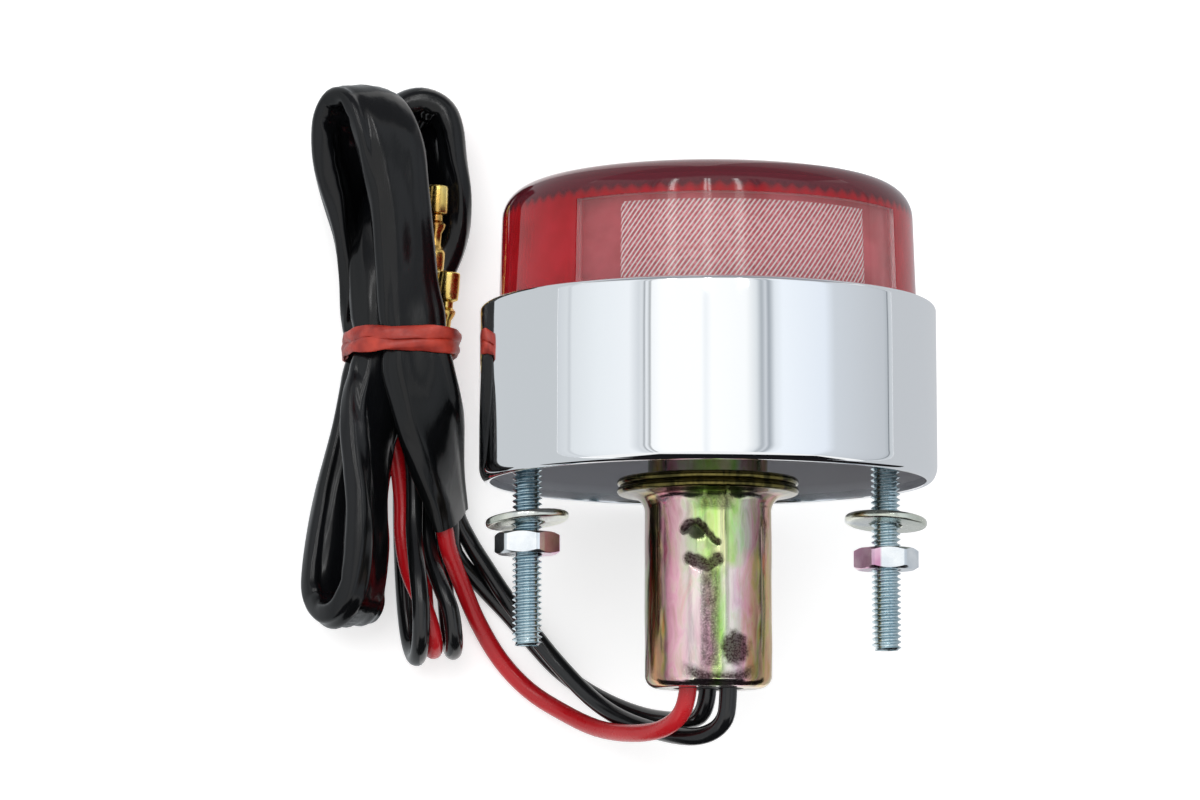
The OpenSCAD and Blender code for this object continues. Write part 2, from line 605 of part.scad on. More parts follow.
// Bullet terminal: round head, neck, barrel and the crimp over the wire's end
module bullet(wire_end, to) {
    v = unit(to - wire_end);
    r = bullet_d / 2;
    grip = wire_d / 2 + 0.05;
    color("goldenrod") translate(wire_end - 2 * v) rotate([0, acos(v.z), atan2(v.y, v.x)]) difference() {
        rotate_extrude($fn = 32) polygon([
            [0, 0], [grip + 0.3, 0], [grip + 0.3, 4.6], [r * 0.62, 5.4], [r * 0.62, 7.2], [r * 0.9, 7.8],
            [r * 0.9, bullet_len - 5.4], [r * 0.6, bullet_len - 4.9], [r * 0.6, bullet_len - 4.4],
            [r, bullet_len - 3.9], [r, bullet_len - 0.5], [r * 0.75, bullet_len], [0, bullet_len]]);
        translate([0, 0, -1]) cylinder(r = grip, h = 3.05, $fn = 24);
    }
}
module bullet_red() bullet([-35, 14, 3.6], [-34.8, 24, 2.6]);
module bullet_black_a() bullet([-34.5, 13.3, 11.7], [-33.3, 25.3, 13.1]);
module bullet_black_b() bullet([-35.4, 26, 10.2], [-34.7, 38, 10.6]);

housing();
base_plate();
lens();
license_window();
lens_gasket();
lens_pillars();
lens_screw(-1);  // lens_screw_left
lens_screw(1);  // lens_screw_right
socket_shell();
wire_grommet();
contact_spring();
contact_carrier();
contact_tips();
bulb_base();
bulb_insulator();
bulb_contacts();
bulb_glass();
bulb_filaments();
stud(-1);  // stud_left
stud(1);  // stud_right
washer(-1);  // washer_left
washer(1);  // washer_right
nut(-1, 24);  // nut_left
nut(1, 10);  // nut_right
wire_red();
wire_black_a();
wire_black_b();
sleeve();
rubber_band();
bullet_red();
bullet_black_a();
bullet_black_b();
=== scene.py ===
from functools import partial
from math import atan2, cos, degrees, floor, pi, radians, sin, sqrt, tan

import bmesh
import bpy
from mathutils import Matrix, Vector, noise


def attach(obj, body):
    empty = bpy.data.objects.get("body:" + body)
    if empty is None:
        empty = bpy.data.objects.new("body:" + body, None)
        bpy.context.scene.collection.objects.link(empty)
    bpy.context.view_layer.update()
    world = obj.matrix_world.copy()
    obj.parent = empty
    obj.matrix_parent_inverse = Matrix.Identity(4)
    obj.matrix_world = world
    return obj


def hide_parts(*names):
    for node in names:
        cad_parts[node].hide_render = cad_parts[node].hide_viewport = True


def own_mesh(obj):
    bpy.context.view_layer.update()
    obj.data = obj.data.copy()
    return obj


# Round motorcycle tail lamp lying on its side. Sizes here are in millimetres until a mesh is
# finished; the lamp's own frame has its axis along Z, the rear rim at 0 and the window facing -Y.
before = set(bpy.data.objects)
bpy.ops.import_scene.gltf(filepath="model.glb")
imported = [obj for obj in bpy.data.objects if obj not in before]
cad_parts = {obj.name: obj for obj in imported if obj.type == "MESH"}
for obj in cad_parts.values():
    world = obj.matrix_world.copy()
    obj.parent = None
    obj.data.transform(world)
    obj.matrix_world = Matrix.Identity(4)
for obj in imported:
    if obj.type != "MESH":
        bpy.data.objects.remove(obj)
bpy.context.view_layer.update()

MM = 0.001
CUP_R, RIM_Y, TUBE_R = 31.75, -6.4, 8.8
STUD_X, STUD_LEN, STUD_D, STUD_PITCH, STUD_IN = 25.4, 31.8, 4.1, 0.794, 9
NUT_ACROSS, NUT_HIGH, NUT_BORE_R = 8.1, 3.0, 2.1
SCREW_X, BALL_S, BALL_R, GLASS_WALL, WASHER_LEAN = 18, 22.5, 12.5, 0.7, 5
LAMP = Matrix.Translation((0, RIM_Y, CUP_R)) @ Matrix.Rotation(radians(-90), 4, "X")
STRAIGHT = Matrix.Identity(4)


# Camera: a long lens, nearly above the lamp, rolled with it
EYE = (-0.12779, -0.06929, 0.6108)
RIGHT, UP, BACK = (0.98162, 0, 0.19081), (-0.02382, 0.99218, 0.12253), (-0.18932, -0.12481, 0.97395)
camera = bpy.data.objects.new("camera", bpy.data.cameras.new("camera"))
bpy.context.scene.collection.objects.link(camera)
turned = Matrix((RIGHT, UP, BACK)).transposed().to_4x4()
camera.matrix_world = Matrix.Translation(EYE) @ turned
camera.data.sensor_width = 36
camera.data.lens = 129
camera.data.clip_start, camera.data.clip_end = 0.01, 20
bpy.context.scene.camera = camera


# Colours and nodes
def linear(value):
    """An sRGB hex colour as linear red, green, blue and alpha."""
    parts = [int(value[i:i + 2], 16) / 255 for i in (1, 3, 5)]
    return [c / 12.92 if c <= 0.04045 else ((c + 0.055) / 1.055) ** 2.4 for c in parts] + [1]


def put(tree, kind, inputs=None, stops=(), span=(), **settings):
    """Adds a shader node with its settings, and a colour ramp's stops or a map range's span: where it
    comes from, and where to. An input is a value, an output that is linked to it, or a node whose
    output is."""
    node = tree.nodes.new("ShaderNode" + kind)
    for name, value in settings.items():
        setattr(node, name, value)
    for key, value in (inputs or {}).items():
        if isinstance(value, bpy.types.Node):
            value = next(output for output in value.outputs if output.enabled)
        if isinstance(value, bpy.types.NodeSocket):
            tree.links.new(value, node.inputs[key])
        else:
            node.inputs[key].default_value = value
    for key, value in zip(("From Min", "From Max", "To Min", "To Max"), span):
        node.inputs[key].default_value = value
    for index, (position, shade) in enumerate(stops):
        elements = node.color_ramp.elements
        if index in (0, len(stops) - 1):
            element = elements[0 if index == 0 else len(elements) - 1]
            element.position = position
        else:
            element = elements.new(position)
        element.color = linear(shade)
    return node


def start(name):
    """An empty material, what adds its nodes, and its object coordinates."""
    material = bpy.data.materials.new(name)
    material.use_nodes = True
    material.node_tree.nodes.clear()
    add = partial(put, material.node_tree)
    return material, add, add("TexCoord").outputs["Object"]


def done(material, inputs, shader="BsdfPrincipled"):
    """The material, with its surface shader and its output."""
    add = partial(put, material.node_tree)
    add("OutputMaterial", {"Surface": add(shader, inputs)})
    return material


def round_axis(add, where):
    """A place's distance from the lamp's axis, its turn round it from straight up, and its way along it."""
    split = add("SeparateXYZ", {"Vector": where})
    height = add("Math", {0: split.outputs["Z"], 1: CUP_R * MM}, operation="SUBTRACT")
    flat = add("CombineXYZ", {"X": split.outputs["X"], "Y": height})
    radius = add("VectorMath", {0: flat}, operation="LENGTH").outputs["Value"]
    turn = add("Math", {0: split.outputs["X"], 1: height}, operation="ARCTAN2")
    return radius, turn, split.outputs["Y"]


# Bright chrome on drawn steel: mirror-like, with a faint ripple along the lamp's axis from the
# polishing mop. Inside the cup the steel was never polished, and the thin plate on it stays grey.
def chrome():
    material, add, where = start("bright_chrome_plate")
    along = add("Mapping", {"Vector": where, "Scale": (1, 0.16, 1)})
    ripple = add("TexNoise", {"Vector": along, "Scale": 150, "Detail": 1})
    smear = add("TexNoise", {"Vector": along, "Scale": 420})
    inside = add("Attribute", attribute_name="unpolished").outputs["Fac"]
    polish = add("MapRange", {"Value": smear}, span=(0.3, 0.75, 0.02, 0.06))
    rough = add("Mix", {0: inside, 2: polish, 3: 0.55})
    colour = add("Mix", {0: inside, 6: linear("#F2F4F6"), 7: linear("#CFCFD3")}, data_type="RGBA")
    waves = add("Bump", {"Height": ripple, "Distance": 0.00005, "Strength": 0.13})
    return done(material, {"Base Color": colour, "Metallic": 1.0, "Roughness": rough, "Normal": waves})


# Satin zinc on pressed steel: fine brushed grain, grey and dull, so it shows no clear reflection
def satin():
    material, add, where = start("satin_zinc_plate")
    along = add("Mapping", {"Vector": where, "Scale": (0.03, 1, 1)})
    grain = add("TexNoise", {"Vector": along, "Scale": 4000})
    cloud = add("TexNoise", {"Vector": where, "Scale": 70, "Detail": 3})
    colour = add("ValToRGB", {"Fac": cloud}, [(0.3, "#96969B"), (0.7, "#ADADB1")])
    rough = add("MapRange", {"Value": grain}, span=(0.2, 0.8, 0.42, 0.56))
    brushed = add("Bump", {"Height": grain, "Distance": 0.00001, "Strength": 0.3})
    return done(material, {"Base Color": colour, "Metallic": 1.0, "Roughness": rough, "Normal": brushed})


# Yellow chromate over zinc: an interference film with olive and gold towards the tube's edges and pink and
# green on its top, brown and grainy where the press has worked the sheet. The dark olive at the tube's two
# edges is painted shade, and the palest stripe along its top is partly a painted highlight
def chromate():
    material, add, where = start("yellow_chromate_zinc")
    radius, turn, along_axis = round_axis(add, where)
    long = add("Mapping", {"Vector": where, "Scale": (1, 0.3, 1)})
    wander = add("TexNoise", {"Vector": long, "Scale": 320, "Detail": 4, "Distortion": 0.5})
    shift = add("MapRange", {"Value": wander}, span=(0.25, 0.75, -0.14, 0.14))
    moved = add("Math", {0: turn, 1: shift}, operation="ADD")
    lane = add("MapRange", {"Value": moved}, span=(-pi / 2, pi / 2))
    # Round the tube: the dark olive at both ends of these ramps is painted shade on the tube's two sides, and
    # the palest tones near their middle are partly a painted highlight along its top
    upper = add("ValToRGB", {"Fac": lane}, [
        (0.03, "#2A2616"), (0.09, "#5A4A28"), (0.13, "#BCA557"), (0.17, "#744750"), (0.23, "#CC8598"),
        (0.31, "#DAD0C6"), (0.37, "#B4DC8C"), (0.45, "#C4F07E"), (0.52, "#E9F4B4"), (0.57, "#9ED66E"),
        (0.62, "#B8C0B0"), (0.67, "#A0757F"), (0.72, "#714E44"), (0.78, "#DDA096"), (0.86, "#AE8E50"),
        (0.96, "#2F2A18")])
    lower = add("ValToRGB", {"Fac": lane}, [
        (0.03, "#2C2815"), (0.09, "#9A7636"), (0.13, "#DFA463"), (0.17, "#5F3F37"), (0.22, "#DB98AA"),
        (0.30, "#F2C2CC"), (0.36, "#E2DAD8"), (0.42, "#C89FB0"), (0.48, "#A6DC70"), (0.52, "#F0F2DE"),
        (0.58, "#D9C4CA"), (0.63, "#E09AAC"), (0.68, "#B5825C"), (0.73, "#6E6434"), (0.80, "#D6A85E"),
        (0.88, "#B8A24E"), (0.96, "#383219")])
    blotch = add("TexNoise", {"Vector": where, "Scale": 210, "Detail": 2})
    drop = add("MapRange", {"Value": blotch}, span=(0.25, 0.75, -0.004, 0.004))
    place = add("Math", {0: along_axis, 1: drop}, operation="ADD")
    low = add("MapRange", {"Value": place}, span=(-0.0155, -0.0195))
    tube = add("Mix", {0: low, 6: upper, 7: lower}, data_type="RGBA")
    film = add("TexNoise", {"Vector": long, "Scale": 560, "Detail": 3, "Distortion": 1.0})
    tint = add("ValToRGB", {"Fac": film}, [
        (0.3, "#8B7A3C"), (0.42, "#E8A9BC"), (0.52, "#E6DCC4"), (0.6, "#B6DE8A"), (0.72, "#D8985E")])
    toned = add("Mix", {0: 0.22, 6: tube, 7: tint}, data_type="RGBA")
    # The double bead is painted a dark olive: partly the film's own olive, partly a painted reflection of the
    # dark surroundings below it
    flange = add("MapRange", {"Value": radius}, span=(0.0095, 0.0112))
    rim = add("ValToRGB", {"Fac": film}, [
        (0.3, "#2E2C18"), (0.46, "#4C4728"), (0.56, "#746A3A"), (0.7, "#58522E")])
    beaded = add("Mix", {0: flange, 6: toned, 7: rim}, data_type="RGBA")
    # This mark holds the worked, pressed grain and scuffs, and also painted shadow along the bayonet hook's
    # edges and painted shade round the foot and under the flange; it darkens the film below
    wear_and_painted_shade = add("Attribute", attribute_name="pressed_rough").outputs["Fac"]
    pits = add("TexNoise", {"Vector": where, "Scale": 3600, "Detail": 4, "Roughness": 0.7})
    grain = add("MapRange", {"Value": pits}, span=(0.4, 0.54, 0.6, 1.0))
    solid = add("MapRange", {"Value": wear_and_painted_shade}, span=(0.78, 1.0))
    cover = add("Math", {0: grain, 1: solid}, operation="MAXIMUM")
    dark = add("Math", {0: wear_and_painted_shade, 1: cover}, operation="MULTIPLY")
    shade = add("Mix", {0: dark, 6: beaded, 7: linear("#311C1F")}, data_type="RGBA")
    strength = add("MapRange", {"Value": wear_and_painted_shade}, span=(0, 1, 0.04, 0.8))
    pitted = add("Bump", {"Height": pits, "Distance": 0.00012, "Strength": strength})
    drawn = add("Bump", {"Height": wander, "Distance": 0.0003, "Strength": 0.22, "Normal": pitted})
    rough = add("MapRange", {"Value": wear_and_painted_shade}, span=(0, 1, 0.16, 0.42))
    return done(material, {"Base Color": shade, "Metallic": 1.0, "Roughness": rough, "Normal": drawn})


# Red acrylic: injection moulded, polished outside and finely fluted inside, so that its wall
# glows deep red; the thick corner round its front is painted a darker wine red with a scalloped edge,
# and lets less light through, as painted shade for how dark that corner looks
def red_acrylic():
    material, add, where = start("moulded_red_acrylic")
    radius, turn, along_axis = round_axis(add, where)
    flutes = add("Math", {0: turn, 1: 90.0}, operation="MULTIPLY")
    scallop = add("Math", {0: flutes}, operation="SINE")
    wavy = add("Math", {0: scallop, 1: 0.00025}, operation="MULTIPLY")
    cloud = add("TexNoise", {"Vector": where, "Scale": 160, "Detail": 2})
    drift = add("Math", {0: cloud, 1: 0.0012}, operation="MULTIPLY")
    level = add("Math", {0: along_axis, 1: wavy}, operation="ADD")
    level = add("Math", {0: level, 1: drift}, operation="ADD")
    # Painted shade: the corner round the front turns a darker wine red and lets less light through
    corner = add("MapRange", {"Value": level}, span=(0.0306, 0.0316))
    outer = add("MapRange", {"Value": radius}, span=(0.021, 0.025))
    corner = add("Math", {0: corner, 1: outer}, operation="MULTIPLY")
    body = add("ValToRGB", {"Fac": cloud}, [(0.35, "#C4121E"), (0.65, "#DC2232")])
    colour = add("Mix", {0: corner, 6: body, 7: linear("#6A2430")}, data_type="RGBA")
    through = add("Mix", {0: corner, 2: 0.58, 3: 0.45})
    soft = add("Bump", {"Height": cloud, "Distance": 0.00004, "Strength": 0.2})
    return done(material, {"Base Color": colour, "Roughness": 0.03, "IOR": 1.49,
                           "Transmission Weight": through, "Specular IOR Level": 0.34, "Normal": soft})


# Clear acrylic: moulded and polished outside; its back is matt and painted pink, standing for the red light
# of the lens round it seen through the pane
def clear_acrylic():
    material, add, where = start("moulded_clear_acrylic")
    radius, _, _ = round_axis(add, where)
    back = add("MapRange", {"Value": radius}, span=(0.0278, 0.027))
    cloud = add("TexNoise", {"Vector": where, "Scale": 190, "Detail": 3})
    # Painted light: the pink of the lens's red glow, seen through the window
    pink = add("ValToRGB", {"Fac": cloud}, [(0.35, "#C41428"), (0.65, "#DE3E52")])
    colour = add("Mix", {0: back, 6: linear("#FFF2F3"), 7: pink}, data_type="RGBA")
    through = add("Mix", {0: back, 2: 0.96, 3: 0.3})
    rough = add("Mix", {0: back, 2: 0.02, 3: 0.4})
    soft = add("Bump", {"Height": cloud, "Distance": 0.00003, "Strength": 0.15})
    return done(material, {"Base Color": colour, "Roughness": rough, "IOR": 1.49,
                           "Transmission Weight": through, "Specular IOR Level": 0.42, "Normal": soft})


# The ribs moulded in the window's back: their crests are painted white as a painted highlight, and the
# valleys between them a mottled pink that paints the lens's red light seen through them
def ribbed_acrylic():
    material, add, where = start("ribbed_acrylic_back")
    crest_highlight = add("Attribute", attribute_name="rib_crest").outputs["Fac"]
    specks = add("TexNoise", {"Vector": where, "Scale": 2300, "Detail": 3})
    valley = add("ValToRGB", {"Fac": specks}, [(0.36, "#B42030"), (0.5, "#D03E4E"), (0.62, "#E88A94")])
    # A painted highlight on the crests, and painted red light in the valleys
    colour = add("Mix", {0: crest_highlight, 6: valley, 7: linear("#FFFFFF")}, data_type="RGBA")
    bump = add("Bump", {"Height": specks, "Distance": 0.00003, "Strength": 0.4})
    return done(material, {"Base Color": colour, "Roughness": 0.35, "IOR": 1.49,
                           "Transmission Weight": 0.12, "Normal": bump})


# Soda-lime glass, blown and clear: it is slightly wavy, and its tint drifts a little
def blown_glass():
    material, add, where = start("blown_lamp_glass")
    wave = add("TexNoise", {"Vector": where, "Scale": 130, "Detail": 1})
    colour = add("ValToRGB", {"Fac": wave}, [(0.35, "#F6FAFA"), (0.65, "#EEF4F4")])
    soft = add("Bump", {"Height": wave, "Distance": 0.00003, "Strength": 0.15})
    return done(material, {"Base Color": colour, "Roughness": 0.0, "IOR": 1.5, "Transmission Weight": 1.0,
                           "Normal": soft})


def grained(name, stops, size, along, grains, gloss, depth, shader):
    """A finish whose colour drifts over size mm, longer by a factor along the lamp's axis. Its gloss,
    between two values, and a bump of depth mm follow grains a number of times finer."""
    material, add, where = start(name)
    place = add("Mapping", {"Vector": where, "Scale": (1, 1 / along, 1)})
    drift = add("TexNoise", {"Vector": place, "Scale": 1000 / size, "Detail": 2})
    fine = add("TexNoise", {"Vector": place, "Scale": 1000 * grains / size, "Detail": 3})
    colour = add("ValToRGB", {"Fac": drift}, stops)
    rough = add("MapRange", {"Value": fine}, span=(0.3, 0.7, *gloss))
    bump = add("Bump", {"Height": fine, "Distance": depth * MM, "Strength": 0.3})
    return done(material, {"Base Color": colour, "Roughness": rough, "Normal": bump, **shader})


def plated(name, stops, rough, size, along=1.0, depth=0.01):
    """A plated or drawn metal."""
    return grained(name, stops, size, along, 13, (rough * 0.75, rough * 1.3), depth, {"Metallic": 1.0})


def moulded(name, base, other, rough, size, along=1.0, depth=0.02, shine=0.5):
    """A moulded or extruded plastic or rubber, of two close tones."""
    return grained(name, [(0.35, base), (0.7, other)], size, along, 8, (rough * 0.8, rough * 1.25), depth,
                   {"Specular IOR Level": shine})


# Blue passivated zinc on machined flats: the film is pink on the flats towards the socket and
# bluish white on the others
def nut_film():
    material, add, where = start("blue_zinc_nut")
    split = add("SeparateXYZ", {"Vector": where})
    outward = add("Math", {0: split.outputs["X"]}, operation="ABSOLUTE")
    drift = add("TexNoise", {"Vector": where, "Scale": 260, "Detail": 3})
    pink = add("MapRange", {"Value": outward}, span=(0.0238, 0.0235))
    white = add("ValToRGB", {"Fac": drift}, [(0.35, "#DCE3E9"), (0.65, "#F4F7F8")])
    rose = add("ValToRGB", {"Fac": drift}, [(0.35, "#C48FAF"), (0.65, "#E4C4D6")])
    colour = add("Mix", {0: pink, 6: white, 7: rose}, data_type="RGBA")
    gloss = add("MapRange", {"Value": drift}, span=(0, 1, 0.12, 0.24))
    bump = add("Bump", {"Height": drift, "Distance": 0.00002, "Strength": 0.3})
    return done(material, {"Base Color": colour, "Metallic": 1.0, "Roughness": gloss, "Normal": bump})


CHROME, SATIN, CHROMATE, LENS_RED = chrome(), satin(), chromate(), red_acrylic()
WINDOW, RIBS, GLASS, NUT_ZINC = clear_acrylic(), ribbed_acrylic(), blown_glass(), nut_film()
# Blue passivated zinc on rolled threads: cold tint, paler where the crests are rubbed
STUD_ZINC = plated("blue_zinc_thread", [(0.3, "#A4BAC4"), (0.55, "#C2D3D9"), (0.8, "#DDE6E8")], 0.22, 6, 3,
                   0.006)
# Blue passivated zinc on a stamped washer, tumbled: grey-green with a yellowish cast
WASHER_ZINC = plated("blue_zinc_washer", [(0.3, "#BCC5BA"), (0.5, "#DDDFD2"), (0.75, "#CBD1D6")], 0.22, 6,
                     depth=0.02)
# Drawn brass, golden, tarnished red-brown where it was crimped
BULLET_BRASS = plated("crimped_brass", [
    (0.28, "#A0683E"), (0.42, "#C8974F"), (0.56, "#E2C570"), (0.78, "#F4E6A8")], 0.24, 3.6, 2, 0.006)
# Turned brass of the lens pillars and pressed brass of the contacts
PILLAR_BRASS = plated("turned_brass", [(0.3, "#C9A552"), (0.7, "#DDBC6C")], 0.24, 3)
# Zinc-plated steel of the lens screws
SCREW_STEEL = plated("zinc_plated_screw", [(0.3, "#BBBFC2"), (0.7, "#CFD3D5")], 0.2, 3)
# Hard-drawn spring wire
SPRING_STEEL = plated("spring_steel_wire", [(0.3, "#A9ABAD"), (0.7, "#BFC1C3")], 0.25, 2)
# Nickel-plated brass shell of the bulb's base
BULB_METAL = plated("nickel_plated_brass", [(0.3, "#C4BDAE"), (0.7, "#D6D0C4")], 0.2, 4)
# Soldered contacts of the bulb
SOLDER = plated("soldered_contact", [(0.3, "#A6A8AA"), (0.7, "#BEC0C2")], 0.35, 2, 1, 0.03)
# Coiled tungsten and its nickel supports
TUNGSTEN = plated("coiled_tungsten", [(0.3, "#74757A"), (0.7, "#8A8B8E")], 0.4, 1.2, 1, 0.02)
# Plasticised PVC tube: black, glossy, with long faint wrinkles that smear its highlights
SLEEVE_PVC = moulded("soft_black_pvc", "#08090A", "#101114", 0.17, 9, 3, 0.08, 0.3)
# Extruded PVC insulation, black and red, a little waxy
WIRE_BLACK = moulded("black_pvc_insulation", "#0B0C0D", "#131416", 0.17, 18, depth=0.005)
WIRE_RED = moulded("red_pvc_insulation", "#B00E18", "#C8141F", 0.26, 18, depth=0.005)
# Natural rubber dyed red: matt, translucent, with bloom along its creases
BAND_RUBBER = moulded("red_natural_rubber", "#8A1C12", "#C23C28", 0.42, 3, 1, 0.12)
# Foam rubber of the lens gasket, and the wires' rubber grommet
GASKET_RUBBER = moulded("black_gasket_rubber", "#1B1B1C", "#262627", 0.55, 3)
GROMMET_RUBBER = moulded("black_grommet_rubber", "#151516", "#1F1F20", 0.5, 2)
# Laminated phenolic board of the contact carrier
PHENOLIC = moulded("brown_phenolic_board", "#6B3A1E", "#8A4E29", 0.45, 2)
# Black vitrite of the bulb's insulator
BULB_BLACK = moulded("black_vitrite_insulator", "#0D0D0E", "#18181A", 0.25, 1.5)


# Meshes
def loose_object(name, mesh, place):
    """An object of a mesh that is given in mm, placed in metres in the row frame."""
    bmesh.ops.transform(mesh, matrix=Matrix.Scale(MM, 4) @ place, verts=mesh.verts)
    data = bpy.data.meshes.new(name)
    mesh.to_mesh(data)
    mesh.free()
    item = bpy.data.objects.new(name, data)
    bpy.context.scene.collection.objects.link(item)
    return item


def smooth_faces(data, crease=35):
    """Smooth shading, with the edges sharper than the crease kept."""
    data.polygons.foreach_set("use_smooth", [True] * len(data.polygons))
    data.set_sharp_from_angle(angle=radians(crease))


def as_piece(piece, material, body, nodes):
    """Gives an object its material and its body, and hides the nodes that it stands for."""
    piece.data.materials.append(material)
    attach(piece, body)
    if nodes:
        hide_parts(*nodes)


def finished(name, mesh, material, body, nodes=(), place=STRAIGHT, crease=35):
    """Makes a mesh a visible piece."""
    piece = loose_object(name, mesh, place)
    smooth_faces(piece.data, crease)
    as_piece(piece, material, body, nodes)
    return piece


def join(whole, part):
    """Adds a mesh to another one and frees it."""
    data = bpy.data.meshes.new("part")
    part.to_mesh(data)
    whole.from_mesh(data)
    bpy.data.meshes.remove(data)
    part.free()


def off_axis(point):
    return sqrt(point.x ** 2 + point.y ** 2)


def push_out(point, radius, depth):
    """Moves a point of the given radius away from the axis."""
    point.x += point.x / radius * depth
    point.y += point.y / radius * depth


def turned_part(profile, steps=192, sweep=360.0, from_angle=0.0):
    """Spins a closed outline of (radius, height) points round Z; a part turn starts at from_angle."""
    mesh = bmesh.new()
    points = [mesh.verts.new((r, 0, s)) for r, s in profile]
    for a, b in zip(points, points[1:] + points[:1]):
        mesh.edges.new((a, b))
    whole = sweep == 360.0
    first = mesh.edges[:]
    made = bmesh.ops.spin(mesh, geom=mesh.verts[:] + first, axis=(0, 0, 1), cent=(0, 0, 0),
                          angle=radians(sweep), steps=steps, use_merge=whole)
    if not whole:
        last = [g for g in made["geom_last"] if isinstance(g, bmesh.types.BMEdge)]
        bmesh.ops.edgeloop_fill(mesh, edges=first)
        bmesh.ops.edgeloop_fill(mesh, edges=last)
    bmesh.ops.remove_doubles(mesh, verts=mesh.verts, dist=1e-4)
    bmesh.ops.recalc_face_normals(mesh, faces=mesh.faces)
    bmesh.ops.rotate(mesh, matrix=Matrix.Rotation(radians(from_angle - 90), 3, "Z"), verts=mesh.verts)
    return mesh


def looped(rings, shut=False):
    """Skins rings of points: a circle's vertices take the first ring, and each ring after it is an
    extrusion of the last. Shut joins the last ring to the first; else both ends are filled."""
    mesh = bmesh.new()
    bmesh.ops.create_circle(mesh, segments=len(rings[0]), radius=1)
    line, edges = mesh.verts[:], mesh.edges[:]
    start_edges = edges
    for vertex, point in zip(line, rings[0]):
        vertex.co = point
    for ring in rings[1:]:
        made = bmesh.ops.extrude_edge_only(mesh, edges=edges)["geom"]
        fresh = {g for g in made if isinstance(g, bmesh.types.BMVert)}
        line = [next(e.other_vert(v) for e in v.link_edges if e.other_vert(v) in fresh) for v in line]
        edges = [g for g in made if isinstance(g, bmesh.types.BMEdge)
                 and g.verts[0] in fresh and g.verts[1] in fresh]
        for vertex, point in zip(line, ring):
            vertex.co = point
    if shut:
        bmesh.ops.bridge_loops(mesh, edges=start_edges + edges)
    else:
        bmesh.ops.edgeloop_fill(mesh, edges=start_edges)
        bmesh.ops.edgeloop_fill(mesh, edges=edges)
    bmesh.ops.recalc_face_normals(mesh, faces=mesh.faces)
    return mesh


def arc(centre, radius, a0, a1, n=8):
    return [(centre[0] + radius * cos(radians(a0 + (a1 - a0) * i / n)),
             centre[1] + radius * sin(radians(a0 + (a1 - a0) * i / n))) for i in range(n + 1)]


def smooth_step(low, high, x):
    t = min(max((x - low) / (high - low), 0), 1)
    return t * t * (3 - 2 * t)


def within(x, low, high, soft):
    """1 between two limits and 0 outside them, with soft shoulders."""
    return smooth_step(low - soft, low + soft, x) * (1 - smooth_step(high - soft, high + soft, x))


def bell(x, y=0.0):
    """1 at nothing, falling off on every side."""
    return pow(2.718, -(x ** 2 + y ** 2))


def on_cup(angle, radius, s):
    """A point of the lamp's own frame, at an angle from straight up."""
    return Vector((radius * sin(radians(angle)), -radius * cos(radians(angle)), s))


# Harness routes in mm, as in the part's source; the sleeve's have its lean in degrees too, and its
# folds lie up to 2.5 mm from the middle of their solids, where the sheet crumples
LEAD_RED = [
    (-3, -32.4, 32), (-3, -35.4, 31.9), (-3.6, -38.3, 30), (-5.3, -40.1, 25.4),
    (-8.2, -40.4, 18.8), (-11.6, -39.4, 11.4), (-15.6, -36.8, 5.5), (-19.9, -33.6, 2.4),
    (-23.9, -29.3, 1.6), (-27.3, -23.9, 2), (-30, -18.8, 4.4), (-32.4, -14, 7)]
LEAD_BLACK_A = [
    (2.6, -32.4, 32.6), (2.6, -35.4, 32.5), (2.4, -38.8, 31.3), (1.1, -40.6, 28.4),
    (-1.3, -41.1, 25.1), (-4.7, -40.1, 19.5), (-8.6, -38.1, 13.8), (-12.2, -34.9, 9.1),
    (-16.4, -29.8, 5.5), (-20.2, -24.9, 4.4), (-23.8, -20.2, 4.2), (-26.8, -15.6, 3.6),
    (-28.8, -12.4, 3.4)]
LEAD_BLACK_B = [
    (0.4, -32.4, 29.4), (0.4, -35.4, 29.1), (0.1, -37.9, 27), (-0.8, -38.7, 23.2),
    (-2.5, -38.5, 18.4), (-5.2, -37.7, 13.2), (-8.6, -36, 8.6), (-12.4, -33.4, 4.7),
    (-16, -30.2, 2.3), (-19.4, -26.4, 1.5), (-23, -22.4, 1.5), (-26.8, -18.6, 1.9),
    (-31, -14.2, 3.8)]
